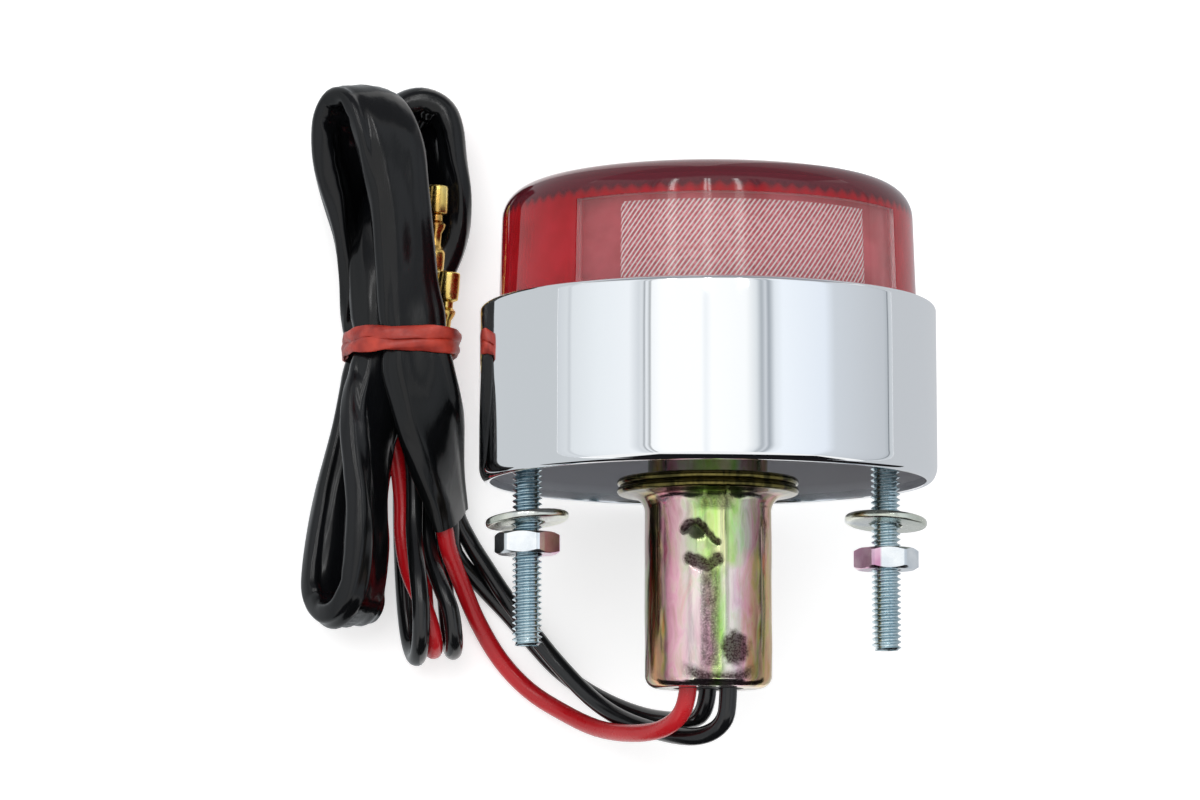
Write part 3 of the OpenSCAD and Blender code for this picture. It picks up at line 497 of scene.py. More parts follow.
SLEEVE_ROUTE = [
    (-32.2, -9.6, 6.8, -58), (-33.8, -4.2, 9.2, -48), (-35.4, 1.2, 12.4, -30), (-37, 6, 15.2, -8),
    (-38.4, 11, 16, 0), (-38.9, 16, 16, 0), (-39.8, 22, 16.1, 0), (-40.6, 30, 16.2, -3),
    (-41.6, 38, 16.4, -8), (-43, 44.2, 16.2, -18), (-45, 48.6, 14.4, -32),
    (-47.4, 49.6, 11, -46), (-49.2, 47, 8.2, -58), (-49.5, 42, 6.8, -66),
    (-47.9, 36, 5.8, -66), (-45.8, 29.5, 5.2, -56), (-44, 24, 4.2, -36), (-42.3, 18.4, 3.1, 0),
    (-42.2, 12, 3.1, 0), (-43.2, 5.6, 2.9, -4), (-44.8, -1, 3, -10), (-46.2, -7, 3.2, -8),
    (-47.4, -13, 3.6, -12), (-48.4, -19.2, 4.3, -24), (-48.1, -22, 5.6, -34), (-47.2, -23.2, 8.5, -42),
    (-46.2, -22, 11.4, -50), (-45.5, -19.2, 12.6, -57), (-45.1, -12.6, 12.6, -63),
    (-45, -6, 12.1, -62), (-44.8, 1, 11.6, -44), (-43.8, 6, 11.5, -20), (-42.5, 10, 11.6, -3),
    (-42, 16, 11.7, 0), (-42.4, 23, 11.4, 14), (-42.3, 30, 9.8, 34), (-41.5, 36.6, 7.9, 58),
    (-40.8, 41.6, 6.4, 80), (-40.6, 46.8, 5.8, 90), (-39.5, 49.5, 5.6, 93), (-36.8, 50.5, 5.6, 94),
    (-34.1, 49.5, 5.6, 93), (-33, 46.8, 5.7, 88), (-33, 41.6, 5.7, 74), (-33.6, 36.6, 5.7, 44),
    (-35.2, 30, 5.5, 10), (-38.4, 23.6, 6.5, -3), (-41.6, 17.8, 7.4, 0), (-41.4, 13, 7.4, 0),
    (-41.4, 9.4, 7.2, 0)]
TAIL_RED = [
    (-41, 3.4, 6.5), (-39.6, -1, 5.3), (-38.8, -7, 4.8), (-38.8, -12, 5.4),
    (-38.2, -17.4, 8), (-36.4, -22.4, 10.3), (-35, -26.4, 9.7), (-34.4, -28.3, 6.4),
    (-34.5, -26.8, 2.9), (-34.8, -23, 1.5), (-35.2, -17, 1.5), (-35.4, -8, 1.5),
    (-35.2, -2, 1.5), (-34.8, 4, 1.6), (-35.1, 7.4, 2.6), (-35.1, 11, 3.9),
    (-35, 14, 3.6)]
TAIL_BLACK_A = [
    (-36.2, 3.4, 6.4), (-35.4, -2, 5.2), (-35.3, -8, 4.5), (-35.3, -12, 5.8),
    (-35, -15.4, 7.4), (-34, -19.4, 10.2), (-32.8, -23, 11.4), (-32, -26.8, 9.9),
    (-31.6, -28.4, 6.4), (-31.5, -26.8, 2.9), (-31.7, -23, 1.5), (-32.2, -17, 1.5),
    (-32.6, -10, 1.5), (-32.6, -4, 1.8), (-33.3, 2, 5.2), (-34.2, 6.8, 9.6),
    (-34.8, 10.3, 11.3), (-34.5, 13.3, 11.7)]
TAIL_BLACK_B = [
    (-38.6, 3.4, 7.6), (-37.6, -2, 7.4), (-37.4, -7.4, 7.2), (-37.6, -12, 8.6),
    (-37.6, -18, 12.2), (-37.3, -23, 13.5), (-37.1, -27.4, 11.8), (-37, -29.4, 7.6),
    (-37.2, -27.6, 3.3), (-37.6, -23.4, 1.5), (-38.1, -17, 1.5), (-38.4, -9, 1.5),
    (-38.3, -3, 1.5), (-37.6, 3, 2.8), (-35.6, 6.8, 5), (-34.9, 11, 7.2),
    (-34.8, 14, 7.8), (-34.3, 18.2, 9.1), (-34.9, 21, 9.9), (-35.5, 23.2, 10.1),
    (-35.4, 26, 10.2)]
WIRE_R, WIRE_STEP = 1.25, 2.55
SLEEVE_HALF, SLEEVE_THICK, SLEEVE_WALL = 5.1, 1.8, 0.35


def smoothed(route, steps):
    """A smooth curve through a route's points, with a few steps between two of them."""
    points = [Vector(p) for p in route]
    line = []
    for i in range(len(points) - 1):
        a, b, c, d = (points[min(max(k, 0), len(points) - 1)] for k in range(i - 1, i + 3))
        for k in range(steps):
            t = k / steps
            line.append(0.5 * (2 * b + (c - a) * t + (2 * a - 5 * b + 4 * c - d) * t * t
                               + (3 * b - a - 3 * c + d) * t * t * t))
    return line + [points[-1]]


def framed(stations):
    """At each station of a leaning route: its place, its flat width's direction and its normal."""
    places = [Vector(q[:3]) for q in stations]
    frames = []
    for i, q in enumerate(stations):
        along = (places[min(i + 1, len(places) - 1)] - places[max(i - 1, 0)]).normalized()
        flat = Vector((cos(radians(q[3])), 0, sin(radians(q[3]))))
        flat = (flat - flat.dot(along) * along).normalized()
        frames.append((places[i], flat, along.cross(flat)))
    return frames


def wire(name, lead, shift, tail, material):
    """A wire from the socket through the sleeve to its terminal, as one curve."""
    inside = [p + shift * WIRE_STEP * flat for p, flat, _ in framed(SLEEVE_ROUTE)]
    line = [p * MM for p in smoothed(lead + inside + tail, 4)]
    data = bpy.data.curves.new(name, "CURVE")
    data.dimensions = "3D"
    spline = data.splines.new("POLY")
    spline.points.add(len(line) - 1)
    for point, p in zip(spline.points, line):
        point.co = (*p, 1)
    data.bevel_depth = WIRE_R * MM
    data.bevel_resolution = 6
    data.use_fill_caps = True
    piece = bpy.data.objects.new(name, data)
    bpy.context.scene.collection.objects.link(piece)
    as_piece(piece, material, "lamp_body", [name.replace("insulated_", "")])


# Bullet terminals: crimped barrel, neck, waist and a head with a ring below it
def bullet(name, node, wire_end, to, roll):
    end, along = Vector(wire_end), (Vector(to) - Vector(wire_end)).normalized()
    outline = (arc((1.35, 0.3), 0.3, -90, 0, 3) + [(1.68, 1.2), (1.5, 1.6), (1.68, 2.0), (1.68, 4.2)]
               + arc((1.3, 4.4), 0.32, 30, 60, 2) + [(0.98, 5.4), (0.98, 7.1), (1.35, 7.8), (1.45, 8.2),
               (1.45, 8.45), (0.98, 8.9), (0.96, 9.7)] + arc((1.3, 10.2), 0.3, -90, 0, 3)
               + [(1.6, 11.6), (1.52, 13.2)] + arc((1.2, 13.7), 0.3, 0, 90, 3) + [(0.7, 14), (0.6, 13.4)])
    rings = []
    for r, s in outline:
        pinch = within(s, 0.9, 3.9, 0.5)
        rings.append([Vector((r * cos(t) * (1 - 0.16 * pinch * abs(sin(t)) ** 3),
                              r * sin(t) * (1 - 0.2 * pinch * abs(cos(t)) ** 6), s))
                      for t in (2 * pi * k / 32 for k in range(32))])
    place = (Matrix.Translation(end - 2 * along) @ along.to_track_quat("Z", "Y").to_matrix().to_4x4()
             @ Matrix.Rotation(radians(roll), 4, "Z"))
    return finished(name, looped(rings), BULLET_BRASS, "lamp_body", [node], place, 40)


BULLETS = {
    "red": bullet("terminal_red", "bullet_red", TAIL_RED[-1], (-34.8, 24, 2.6), 10),
    "black_a": bullet("terminal_black_a", "bullet_black_a", TAIL_BLACK_A[-1], (-33.3, 25.3, 13.1), 50),
    "black_b": bullet("terminal_black_b", "bullet_black_b", TAIL_BLACK_B[-1], (-34.7, 38, 10.6), 30),
}
wire("insulated_wire_red", LEAD_RED, -1, TAIL_RED, WIRE_RED)
wire("insulated_wire_black_a", LEAD_BLACK_A, 1, TAIL_BLACK_A, WIRE_BLACK)
wire("insulated_wire_black_b", LEAD_BLACK_B, 0, TAIL_BLACK_B, WIRE_BLACK)


# Sleeve: a flattened PVC tube that drapes over the three wires, pinched at its edges, with
# wandering creases along it, and crumpled inwards at each fold so that no light comes through
def sleeve():
    around, steps, tight_bow, fold_reach, fold_fill = 48, 5, 6.5, 20, 5.2
    frames = framed(smoothed(SLEEVE_ROUTE, steps))
    run = [0.0]
    for a, b in zip(frames, frames[1:]):
        run.append(run[-1] + (b[0] - a[0]).length)
    bends = []
    for i, (place, _, up) in enumerate(frames):
        before, after = frames[max(i - steps, 0)][0], frames[min(i + steps, len(frames) - 1)][0]
        bow = before + after - 2 * place
        bends.append(min(max(bow.dot(up) / tight_bow, -1), 1))
    outer, inner = [], []
    for i, (place, flat, up) in enumerate(frames):
        d, bend = run[i], bends[i]
        pull = max((b * bell((d - e) / fold_reach) for b, e in zip(bends, run)), key=abs)
        inward = 1 if pull > 0 else -1
        low = -1 if flat.z > 0 else 1
        fill = fold_fill * smooth_step(0.2, 0.6, abs(pull)) * abs(flat.z)
        end = min(d, run[-1] - d)
        gathered = within(place.y, 20, 40, 6) * smooth_step(13, 15.5, place.z)
        for ring, wall in ((outer, 0.0), (inner, SLEEVE_WALL)):
            points = []
            for k in range(around):
                t = 2 * pi * k / around
                x = (SLEEVE_HALF - wall) * (1 if cos(t) > 0 else -1) * abs(cos(t)) ** 0.55
                side = 1 if sin(t) > 0 else -1
                y = (SLEEVE_THICK - wall) * side * abs(sin(t)) ** 0.6
                lane = side * 40
                groove = sum(
                    (0.3 + 0.35 * noise.noise((d / 16, lane + c, 0)))
                    * bell((x - c - 0.9 * noise.noise((d / 22, lane, c))) / 0.6)
                    for c in (-1.3, 1.3, 3.4, -3.6))
                pinch = 0.35 * smooth_step(3.4, 5.0, abs(x))
                puff = 0.75 * noise.noise((d / 15, lane + 5, x / 6)) + 0.3 + 0.3 * abs(pull)
                soft = 0.25 * noise.noise((d / 6, x / 2.4, lane))
                buckle = 0.35 * abs(bend) * sin(d * 1.9 + 3 * noise.noise((d / 5, lane, x / 2)))
                sink = groove + pinch + soft - puff * min(end / 8, 1) + (buckle if side == inward else 0)
                y -= side * (1 if abs(sin(t)) > 0.1 else 0) * max(min(sink, 0.8), -0.7)
                if side == inward:
                    crumple = 0.95 + 0.45 * noise.noise((d / 7, x / 3, 11))
                    y += side * fill * crumple * smooth_step(-1.0, 4.0, x * low)
                waist = within(place.y, 12.8, 16.8, 2.4)
                x *= (1 - 0.12 * waist - 0.14 * gathered + 0.03 * noise.noise((d / 9, side, 7))
                      - 0.03 * smooth_step(0, 6, 6 - end))
                point = place + flat * x + up * y
                point.z = max(point.z, 0.02)
                points.append(point)
            ring.append(points)
    mesh = looped(outer + inner[::-1], shut=True)
    piece = finished("harness_sleeve", mesh, SLEEVE_PVC, "lamp_body", ["sleeve"], crease=70)


sleeve()


# Rubber band: one flat loop wound three times round the waist of the harness, its strands
# twisted over each other
def rubber_band():
    outline = [(-46.8, 2.3), (-46.9, 4.4), (-47, 8), (-46.9, 12), (-46.2, 14.6), (-44.6, 16.8), (-42.6, 18.2),
               (-38.4, 18.5), (-35.2, 18.1), (-33.5, 16.4), (-32.7, 13.4), (-32.9, 9), (-32.9, 5),
               (-33.4, 1.7), (-35.8, 0.66), (-40.6, 0.66), (-45.8, 0.66)]
    turns, steps = 3, 6
    count = len(outline) * turns * steps
    loop = smoothed([(x, z, 0) for x, z in outline * turns + outline[:3]], steps)[:count]
    rings = []
    for i, p in enumerate(loop):
        a, b = loop[i - 1], loop[(i + 1) % count]
        along = Vector((b.x - a.x, 0, b.y - a.y)).normalized()
        out = Vector((along.z, 0, -along.x))
        centre = Vector((p.x, 0, p.y))
        if (centre - Vector((-40, 0, 9))).dot(out) < 0:
            out = -out
        phase = 2 * pi * i / count
        free = smooth_step(1, 6, p.y)
        y = 14.9 + 0.95 * cos(phase) + 0.35 * noise.noise((i / 13, 3, 0))
        lift = (0.05 + 0.25 * (1 + sin(phase))) * free
        middle = centre + out * lift + Vector((0, y, 0))
        twist = 0.8 * noise.noise((i / 9, 9, 0)) + 0.3 * sin(i / 7)
        ring = []
        for k in range(20):
            t = 2 * pi * k / 20
            ridge = 1 + 0.16 * sin(3 * t + i / 3.5)
            u = 0.98 * cos(t) * ridge * (1 + 0.12 * noise.noise((i / 7, 5, 0)))
            v = 0.42 * sin(t) * ridge
            thin = 0.6 + 0.4 * free
            ring.append(middle + Vector((0, cos(twist) * u - sin(twist) * v, 0))
                        + (sin(twist) * u + cos(twist) * v) * out * thin)
        rings.append(ring)
    finished("twisted_rubber_band", looped(rings, shut=True), BAND_RUBBER, "lamp_body",
             ["rubber_band"], crease=60)


rubber_band()


# Housing: a drawn steel cup with a small rolled rear edge, and the collar and ledge for the lens
RIM_IN, RIM_ROLL = 30.4, 2.2


def housing():
    mesh = turned_part(
        arc((RIM_IN, 0.2), 0.2, 180, 270, 3)
        + [(RIM_IN + (CUP_R - RIM_IN) * sin(radians(t)), RIM_ROLL * (1 - cos(radians(t))))
           for t in range(5, 91, 5)]
        + [(CUP_R, s) for s in (6, 12, 18)] + arc((30.95, 23.7), 0.8, 0, 90, 10)
        + arc((29.6, 24.3), 0.2, 90, 180, 4)
        + [(29.4, 20.5), (26.15, 20.5), (26.15, 19.6), (30.3, 19.6), (30.3, 23.3), (30.55, 23.3),
           (30.55, 2.6)], 256)
    dull = mesh.verts.layers.float.new("unpolished")
    for vertex in mesh.verts:
        vertex[dull] = 1.0 if off_axis(vertex.co) < 30.6 and 2.4 < vertex.co.z < 23.5 else 0.0
    finished("chrome_cup", mesh, CHROME, "lamp_body", ["housing"], LAMP)


housing()


# Lens: red shell with fine flutes down the inside of its wall and a gap for the clear window
SEAT_S, WINDOW_TOP, LENS_TOP, WALL = 21.5, 36.2, 41.2, 2.4


def side_r(s):
    """The outside radius of the lens's side, which tapers for the mould."""
    return 29.15 - 0.5 * (s - SEAT_S) / 15.2


def lens_outline(off):
    """The lens's outside, or its inside with the wall taken off, from the seat to the axis."""
    side = [(side_r(s) - off, s) for s in (SEAT_S, 22.3, 26, 31, WINDOW_TOP)]
    corner = arc((24.15, 36.7), 4.5 - off, 0, 90, 14)
    return side + corner + [(r, LENS_TOP - off) for r in (16, 8, 0)]


def cut_away(piece, tool):
    """Takes a tool's shape out of a piece and removes the tool."""
    modifier = piece.modifiers.new("cut", "BOOLEAN")
    modifier.object, modifier.operation, modifier.solver = tool, "DIFFERENCE", "EXACT"
    shown = piece.evaluated_get(bpy.context.evaluated_depsgraph_get())
    data = bpy.data.meshes.new_from_object(shown)
    piece.modifiers.clear()
    piece.data = data
    smooth_faces(data)
    bpy.data.objects.remove(tool)


def lens():
    flute_pitch = 2.0
    mesh = turned_part(lens_outline(0) + lens_outline(WALL)[::-1], 720)
    for vertex in mesh.verts:
        r, s = off_axis(vertex.co), vertex.co.z
        if 25 < r < 27.2 and s > SEAT_S + 0.4:
            turn = degrees(atan2(vertex.co.y, vertex.co.x)) / flute_pitch
            depth = 0.22 * sin(pi * (turn - floor(turn))) * (1 - smooth_step(37.2, 38.2, s))
            push_out(vertex.co, r, depth)
    piece = finished("red_lens", mesh, LENS_RED, "lens_assembly", ["lens"], LAMP)
    gap = turned_part([(24, SEAT_S - 1), (32, SEAT_S - 1), (32, WINDOW_TOP), (24, WINDOW_TOP)], 60,
                      100.4, -50.2)
    cut_away(piece, loose_object("window_gap", gap, LAMP))
    for side in (-1, 1):
        hole = turned_part([(0, 36), (1.8, 36), (1.8, 37.6), (3.55, 37.6), (3.55, 45), (0, 45)], 48)
        bmesh.ops.translate(hole, vec=(side * SCREW_X, 0, 0), verts=hole.verts)
        cut_away(piece, loose_object("screw_hole", hole, LAMP))
    bosses = bmesh.new()
    for side in (-1, 1):
        ring = turned_part([(1.8, 36.2), (4.5, 36.2), (4.5, 38.9), (4.5, 38.7), (1.8, 37.5)], 48)
        bmesh.ops.translate(ring, vec=(side * SCREW_X, 0, 0), verts=ring.verts)
        join(bosses, ring)
    finished("lens_screw_bosses", bosses, LENS_RED, "lens_assembly", (), LAMP)


lens()


# Licence window: a clear insert with slanting moulded ribs behind it, in a plain border
def license_window():
    outline = [(side_r(s), s) for s in (SEAT_S, 28, WINDOW_TOP - 0.06)]
    back = [(r - WALL, s) for r, s in outline[::-1]]
    finished("license_window_pane", turned_part(outline + back, 100, 99.8, -49.9), WINDOW,
             "lens_assembly", ["license_window"], LAMP)
    ribs = bmesh.new()
    slope, pitch, half, low, high = 1.55, 1.44, 37.5, 22.2, 35.4
    first = -half - slope * (high - low)
    # A rib's section: across in pitches, outwards in mm, and 1 on its crest, where the painted highlight goes
    section = [(-0.5, 0.05, 0), (-0.25, 0.05, 0), (-0.12, 0.05, 1), (0.12, 0.05, 1), (0.25, 0.05, 0),
               (0.5, 0.05, 0), (0.5, -0.1, 0), (0.2, -0.1, 0), (0.05, -0.4, 1), (-0.1, -0.1, 0),
               (-0.5, -0.1, 0)]
    for k in range(int((half - first) / pitch) + 2):
        a0 = first + k * pitch
        crossings = [low + (edge - a0) / slope for edge in
                     (-half - pitch / 2, -half + pitch / 2, half - pitch / 2, half + pitch / 2)]
        s0, s1 = max(low, crossings[0]), min(high, crossings[3])
        if s1 - s0 < 0.6:
            continue
        levels = {s0, s1, s0 + (s1 - s0) / 3, s1 - (s1 - s0) / 3}
        levels |= {c for c in crossings[1:3] if s0 < c < s1}
        rings = []
        for s in sorted(levels):
            a = a0 + slope * (s - low)
            r = side_r(s) - WALL
            rings.append([on_cup(min(max(a + pitch * across, -half + 0.01 * across), half + 0.01 * across),
                                 r + proud, s) for across, proud, _ in section])
        strip = looped(rings)
        crest_highlight = strip.verts.layers.float.new("rib_crest")
        strip.verts.ensure_lookup_table()
        for i, vertex in enumerate(strip.verts):
            vertex[crest_highlight] = float(section[i % len(section)][2])
        join(ribs, strip)
    finished("license_window_ribs", ribs, RIBS, "lens_assembly", (), LAMP, 20)


license_window()


# Bulb glass: a blown ball on a narrow neck
blown = turned_part([(0, 0), (6.8, 0), (6.8, 11.2)] + arc((0, BALL_S), BALL_R, -50, 90, 24)
                    + arc((0, BALL_S), BALL_R - GLASS_WALL, 90, -48, 24)
                    + [(6.1, 11.6), (6.1, 1), (4, 1), (3.2, 5), (0, 5)], 96)
finished("bulb_envelope", blown, GLASS, "bulb", ["bulb_glass"], LAMP)


# Socket: a drawn steel tube with a double bead, the bayonet track embossed from inside, and
# the dents and scuffs of its making, with painted shadow along the hook's edges and painted shade round
# its foot and under the flange
LIP = ((-5.3, -6.9), (-4.6, -6.2), (-3.3, -6.1), (-2.3, -6.9), (-1.5, -8.2), (-0.6, -8.9))
HEEL = ((-4.5, -11.1), (-3.4, -11.5), (-2.2, -12.1), (-1.6, -12.0), (-0.7, -11.2))


def off_line(line, a, s):
    """How far a place is from a line of points, and how far along the line its nearest point is."""
    best = (100.0, 0.0)
    for index, ((a0, s0), (a1, s1)) in enumerate(zip(line, line[1:])):
        t = ((a - a0) * (a1 - a0) + (s - s0) * (s1 - s0)) / ((a1 - a0) ** 2 + (s1 - s0) ** 2)
        t = min(max(t, 0), 1)
        gap = sqrt((a - a0 - t * (a1 - a0)) ** 2 + (s - s0 - t * (s1 - s0)) ** 2)
        best = min(best, (gap, (index + t) / (len(line) - 1)))
    return best


def emboss(angle, s):
    """How far the sheet stands out at a place, in mm, and how rough and dark it is, from 0 to 1. The
    dark holds the worked track, the scuffs and the dent, and also painted shadow along the hook's lip and
    heel and painted shade round the foot and under the flange.
    """
    a = radians(angle) * TUBE_R
    rag = 0.22 * noise.noise((a * 1.4, s * 1.4, 6))
    entry = within(a, -2.3, 0.3, 0.3) * within(s, -8.0, 0.4, 0.8)
    ridge = bell((a - 0.28 - 0.12 * noise.noise((s / 4, 1, 0))) / 0.42) * within(s, -21, -0.6, 0.8)
    pad = bell((a + 3.2) / 1.7, (s + 9.0) / 1.7)
    track = within(a, -2.9, -0.4, 0.35) * within(s, -26.2, -12.4, 0.8)
    dent = bell((a - 2.0) / 1.9, (s + 23.3) / 2.0)
    line = within(a, 5.9, 6.6, 0.3) * within(s, -23, -6.5, 1.2)
    left = within(a, -9.6, -8.9, 0.3) * within(s, -21, -3, 1.2)
    # Painted shade round the tube's foot, where it turns under, over a shallow groove
    foot = (1 - smooth_step(0.3, 1.3, abs(s + 27.5 - 0.05 * a * a))) * within(a, -5.2, 4.8, 1.2)
    # The hook's lip and heel: shallow grooves with a painted shadow along them
    gap, along = off_line(LIP, a, s)
    lip = bell((gap + rag) / (0.55 - 0.2 * along))
    gap, along = off_line(HEEL, a, s)
    heel = bell((gap + rag) / 0.8)
    out = (0.35 * entry + 0.45 * ridge + 0.5 * pad - 0.16 * track - 0.4 * dent + 0.2 * line + 0.12 * left
           - 0.2 * foot - 0.24 * lip - 0.24 * heel)
    out += 0.06 * noise.noise((angle / 14, s / 5, 4)) + 0.06 * track * noise.noise((a * 3, s * 3, 2))
    # Painted shade just under the flange
    shade = within(a, -3.4, 1.6, 1.2) * within(s, -4.2, -2.4, 0.6)
    worked = 0.8 * track * (0.9 + 0.3 * noise.noise((a * 2, s * 0.8, 8)))
    scuff = 0.8 * (line + 0.8 * left) * smooth_step(-0.35, 0.1, noise.noise((a, s / 3.5, 3)))
    pit = 0.97 * smooth_step(0.08, 0.45, dent + 0.6 * rag)
    dark = max(worked, scuff, pit, 0.97 * smooth_step(0.05, 0.5, lip), 0.97 * smooth_step(0.05, 0.5, heel),
               0.95 * foot, 0.7 * shade)
    return out, dark


def socket():
    b = 0.575
    outline = ([(8.3, 9.4), (8.3, 6), (8.3, 3), (8.3, 1.1)] + arc((8.75, 1.1), 0.42, 180, 270, 3)
               + arc((12.02, 0.1), b, 90, -75, 10) + arc((12.02, -1.05), b, 75, -95, 10)
               + arc((11.0, -3.99), 2.2, 100, 180, 10)
               + [(TUBE_R, -4.2 - 0.16 * i) for i in range(140)] + arc((7.0, -26.6), 1.8, 0, -90, 14)
               + [(5.9, -28.4), (4.8, -28.4), (4.8, -27.9), (7.0, -27.9)] + arc((7.0, -26.6), 1.3, -90, 0, 6)
               + [(8.3, -1.6), (7.8, -0.8), (7.8, 9.6), (8.6, 9.6)])
    mesh = turned_part(outline, 320)
    rough = mesh.verts.layers.float.new("pressed_rough")
    for vertex in mesh.verts:
        x, y, s = vertex.co
        r, angle = off_axis(vertex.co), degrees(atan2(x, -y))
        if not (s < -27.9 and r > 5.5 or r > 8.55 and s < -1.6 or r > 8.25 and s > 0.7):
            continue  # the tube's inside stays plain
        out, dark = emboss(angle, s)
        if abs(angle) > 120:
            out, dark = emboss(angle - 180 if angle > 0 else angle + 180, s - 3)
        push_out(vertex.co, r, out * smooth_step(4.8, 7.5, r))
        # The dark includes painted shade and shadow as well as wear
        vertex[rough] = min(max(dark, 0), 1)
    finished("socket_tube", mesh, CHROMATE, "lamp_body", ["socket_shell"], LAMP, 50)


socket()


# Contact spring: a wound wire that is squeezed as the bulb is pushed in
def coil():
    wire_r, radius, low, high, turns, steps = 0.4, 6.3, -27.45, -16.85, 6, 32
    rings = []
    for i in range(turns * steps + 1):
        t = 2 * pi * i / steps
        s = low + (high - low) * i / (turns * steps)
        centre = Vector((radius * cos(t), radius * sin(t), s))
        rings.append([centre + wire_r * (cos(q) * Vector((cos(t), sin(t), 0)) + sin(q) * Vector((0, 0, 1)))
                      for q in (2 * pi * k / 12 for k in range(12))])
    piece = finished("wound_contact_spring", looped(rings), SPRING_STEEL, "lamp_body",
                     ["contact_spring"], LAMP)
    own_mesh(piece)


coil()


# Studs, washers and nuts
def threaded(length, major, pitch):
    """A rod with a right-hand thread: one pitch of its outline screwed up Z, cut flat at both ends."""
    mesh = bmesh.new()
    root = major / 2 - 0.6 * pitch
    outline = [(root, 0), (root, 0.1), (major / 2, 0.44), (major / 2, 0.56), (root, 0.9), (root, 1)]
    turns, steps = int(length / pitch) + 3, 28
    points = [mesh.verts.new((r, 0, (h - 1) * pitch)) for r, h in outline]
    for a, b in zip(points, points[1:]):
        mesh.edges.new((a, b))
    bmesh.ops.spin(mesh, geom=mesh.verts[:] + mesh.edges[:], axis=(0, 0, 1), cent=(0, 0, 0),
                   dvec=(0, 0, pitch / steps), angle=2 * pi * turns, steps=steps * turns)
    bmesh.ops.remove_doubles(mesh, verts=mesh.verts, dist=1e-3)
    for height, up in ((0, -1), (length, 1)):
        geom = mesh.verts[:] + mesh.edges[:] + mesh.faces[:]
        cut = bmesh.ops.bisect_plane(mesh, geom=geom, plane_co=(0, 0, height), plane_no=(0, 0, up),
                                     clear_outer=True)
        rim = [g for g in cut["geom_cut"] if isinstance(g, bmesh.types.BMEdge)]
        bmesh.ops.holes_fill(mesh, edges=rim, sides=0)
    bmesh.ops.recalc_face_normals(mesh, faces=mesh.faces)
    for vertex in mesh.verts:
        r = off_axis(vertex.co)
        most = root + 0.1 + min(vertex.co.z, length - vertex.co.z)
        if r > most:
            vertex.co.x *= most / r
            vertex.co.y *= most / r
    return mesh


def nut_mesh(across, height, bore):
    """A hexagon nut: both faces chamfered, so that each flat ends in an arc."""
    rings = []
    half, chamfer = height / 2, across / 2 * 0.97
    edge = [across / 2 / cos(radians((3 * k) % 60 - 30)) for k in range(120)]
    edge = [min(r, across / 2 / cos(radians(30)) - 0.12) for r in edge]
    for pick, z in (("bore", -half), ("chamfer", -half), ("edge", -half),
                    ("edge", half), ("chamfer", half), ("bore", half)):
        ring = []
        for k in range(120):
            r = {"bore": bore, "chamfer": chamfer, "edge": edge[k]}[pick]
            drop = max(edge[k] - chamfer, 0) * tan(radians(32)) if pick == "edge" else 0
            t = radians(3 * k)
            ring.append(Vector((r * cos(t), r * sin(t), z - drop if z > 0 else z + drop)))
        rings.append(ring)
    return looped(rings, shut=True)


for side, word, washer_out, nut_out, nut_turn in ((-1, "left", 5.5, 8.8, 39), (1, "right", 4.8, 10.1, 52)):
    there = LAMP @ Matrix.Translation((STUD_X * side, 0, 0))
    rod = threaded(STUD_LEN, STUD_D, STUD_PITCH)
    bmesh.ops.translate(rod, vec=(0, 0, STUD_IN - STUD_LEN), verts=rod.verts)
    head = turned_part([(0, 9.05), (3.7, 9.05), (3.8, 9.3), (3.8, 10.7), (3.4, 11.05), (0, 11.05)], 48)
    join(rod, head)
    finished("threaded_stud_" + word, rod, STUD_ZINC, "lamp_body", ["stud_" + word], there, 50)
    washer = turned_part(arc((2.5, -0.35), 0.2, 180, 270, 3) + arc((5.3, -0.1), 0.45, 270, 360, 6)
                         + arc((5.3, 0.1), 0.45, 0, 90, 6) + arc((2.5, 0.35), 0.2, 90, 180, 3), 96)
    tilt = (there @ Matrix.Translation((0, 0, -washer_out))
            @ Matrix.Rotation(radians(WASHER_LEAN * side), 4, "Y")
            @ Matrix.Rotation(radians(-WASHER_LEAN), 4, "X"))
    finished("flat_washer_" + word, washer, WASHER_ZINC, word + "_washer", ["washer_" + word],
             tilt)
    spot = there @ Matrix.Translation((0, 0, -nut_out)) @ Matrix.Rotation(radians(nut_turn), 4, "Z")
    finished("hexagon_nut_" + word, nut_mesh(NUT_ACROSS, NUT_HIGH, NUT_BORE_R), NUT_ZINC, word + "_nut",
             ["nut_" + word], spot, 25)


# The pieces whose CAD shape stays
for name, material in {
        "base_plate": SATIN, "lens_gasket": GASKET_RUBBER, "lens_pillars": PILLAR_BRASS,
        "lens_screw_left": SCREW_STEEL, "lens_screw_right": SCREW_STEEL, "wire_grommet": GROMMET_RUBBER,
        "contact_carrier": PHENOLIC, "contact_tips": PILLAR_BRASS, "bulb_base": BULB_METAL,
        "bulb_insulator": BULB_BLACK, "bulb_contacts": SOLDER, "bulb_filaments": TUNGSTEN}.items():
    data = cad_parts[name].data
    data.materials.clear()
    data.materials.append(material)


# Stage: a pale floor, plain light, and cards that only reflections see
def staged(name, mesh, material, reflected_only=False):
    item = loose_object(name, mesh, STRAIGHT)
    item.data.materials.append(material)
    if reflected_only:
        item.visible_camera = item.visible_diffuse = item.visible_shadow = False
        item.visible_transmission = item.visible_volume_scatter = False


def direct_rays(add):
    """1 for the rays that see the room itself: from the camera, off a mirror or through glass."""
    rays = add("LightPath")
    seen = add("Math", {0: rays.outputs["Is Camera Ray"], 1: rays.outputs["Is Glossy Ray"]},
               operation="MAXIMUM")
    return add("Math", {0: seen, 1: rays.outputs["Is Transmission Ray"]}, operation="MAXIMUM")


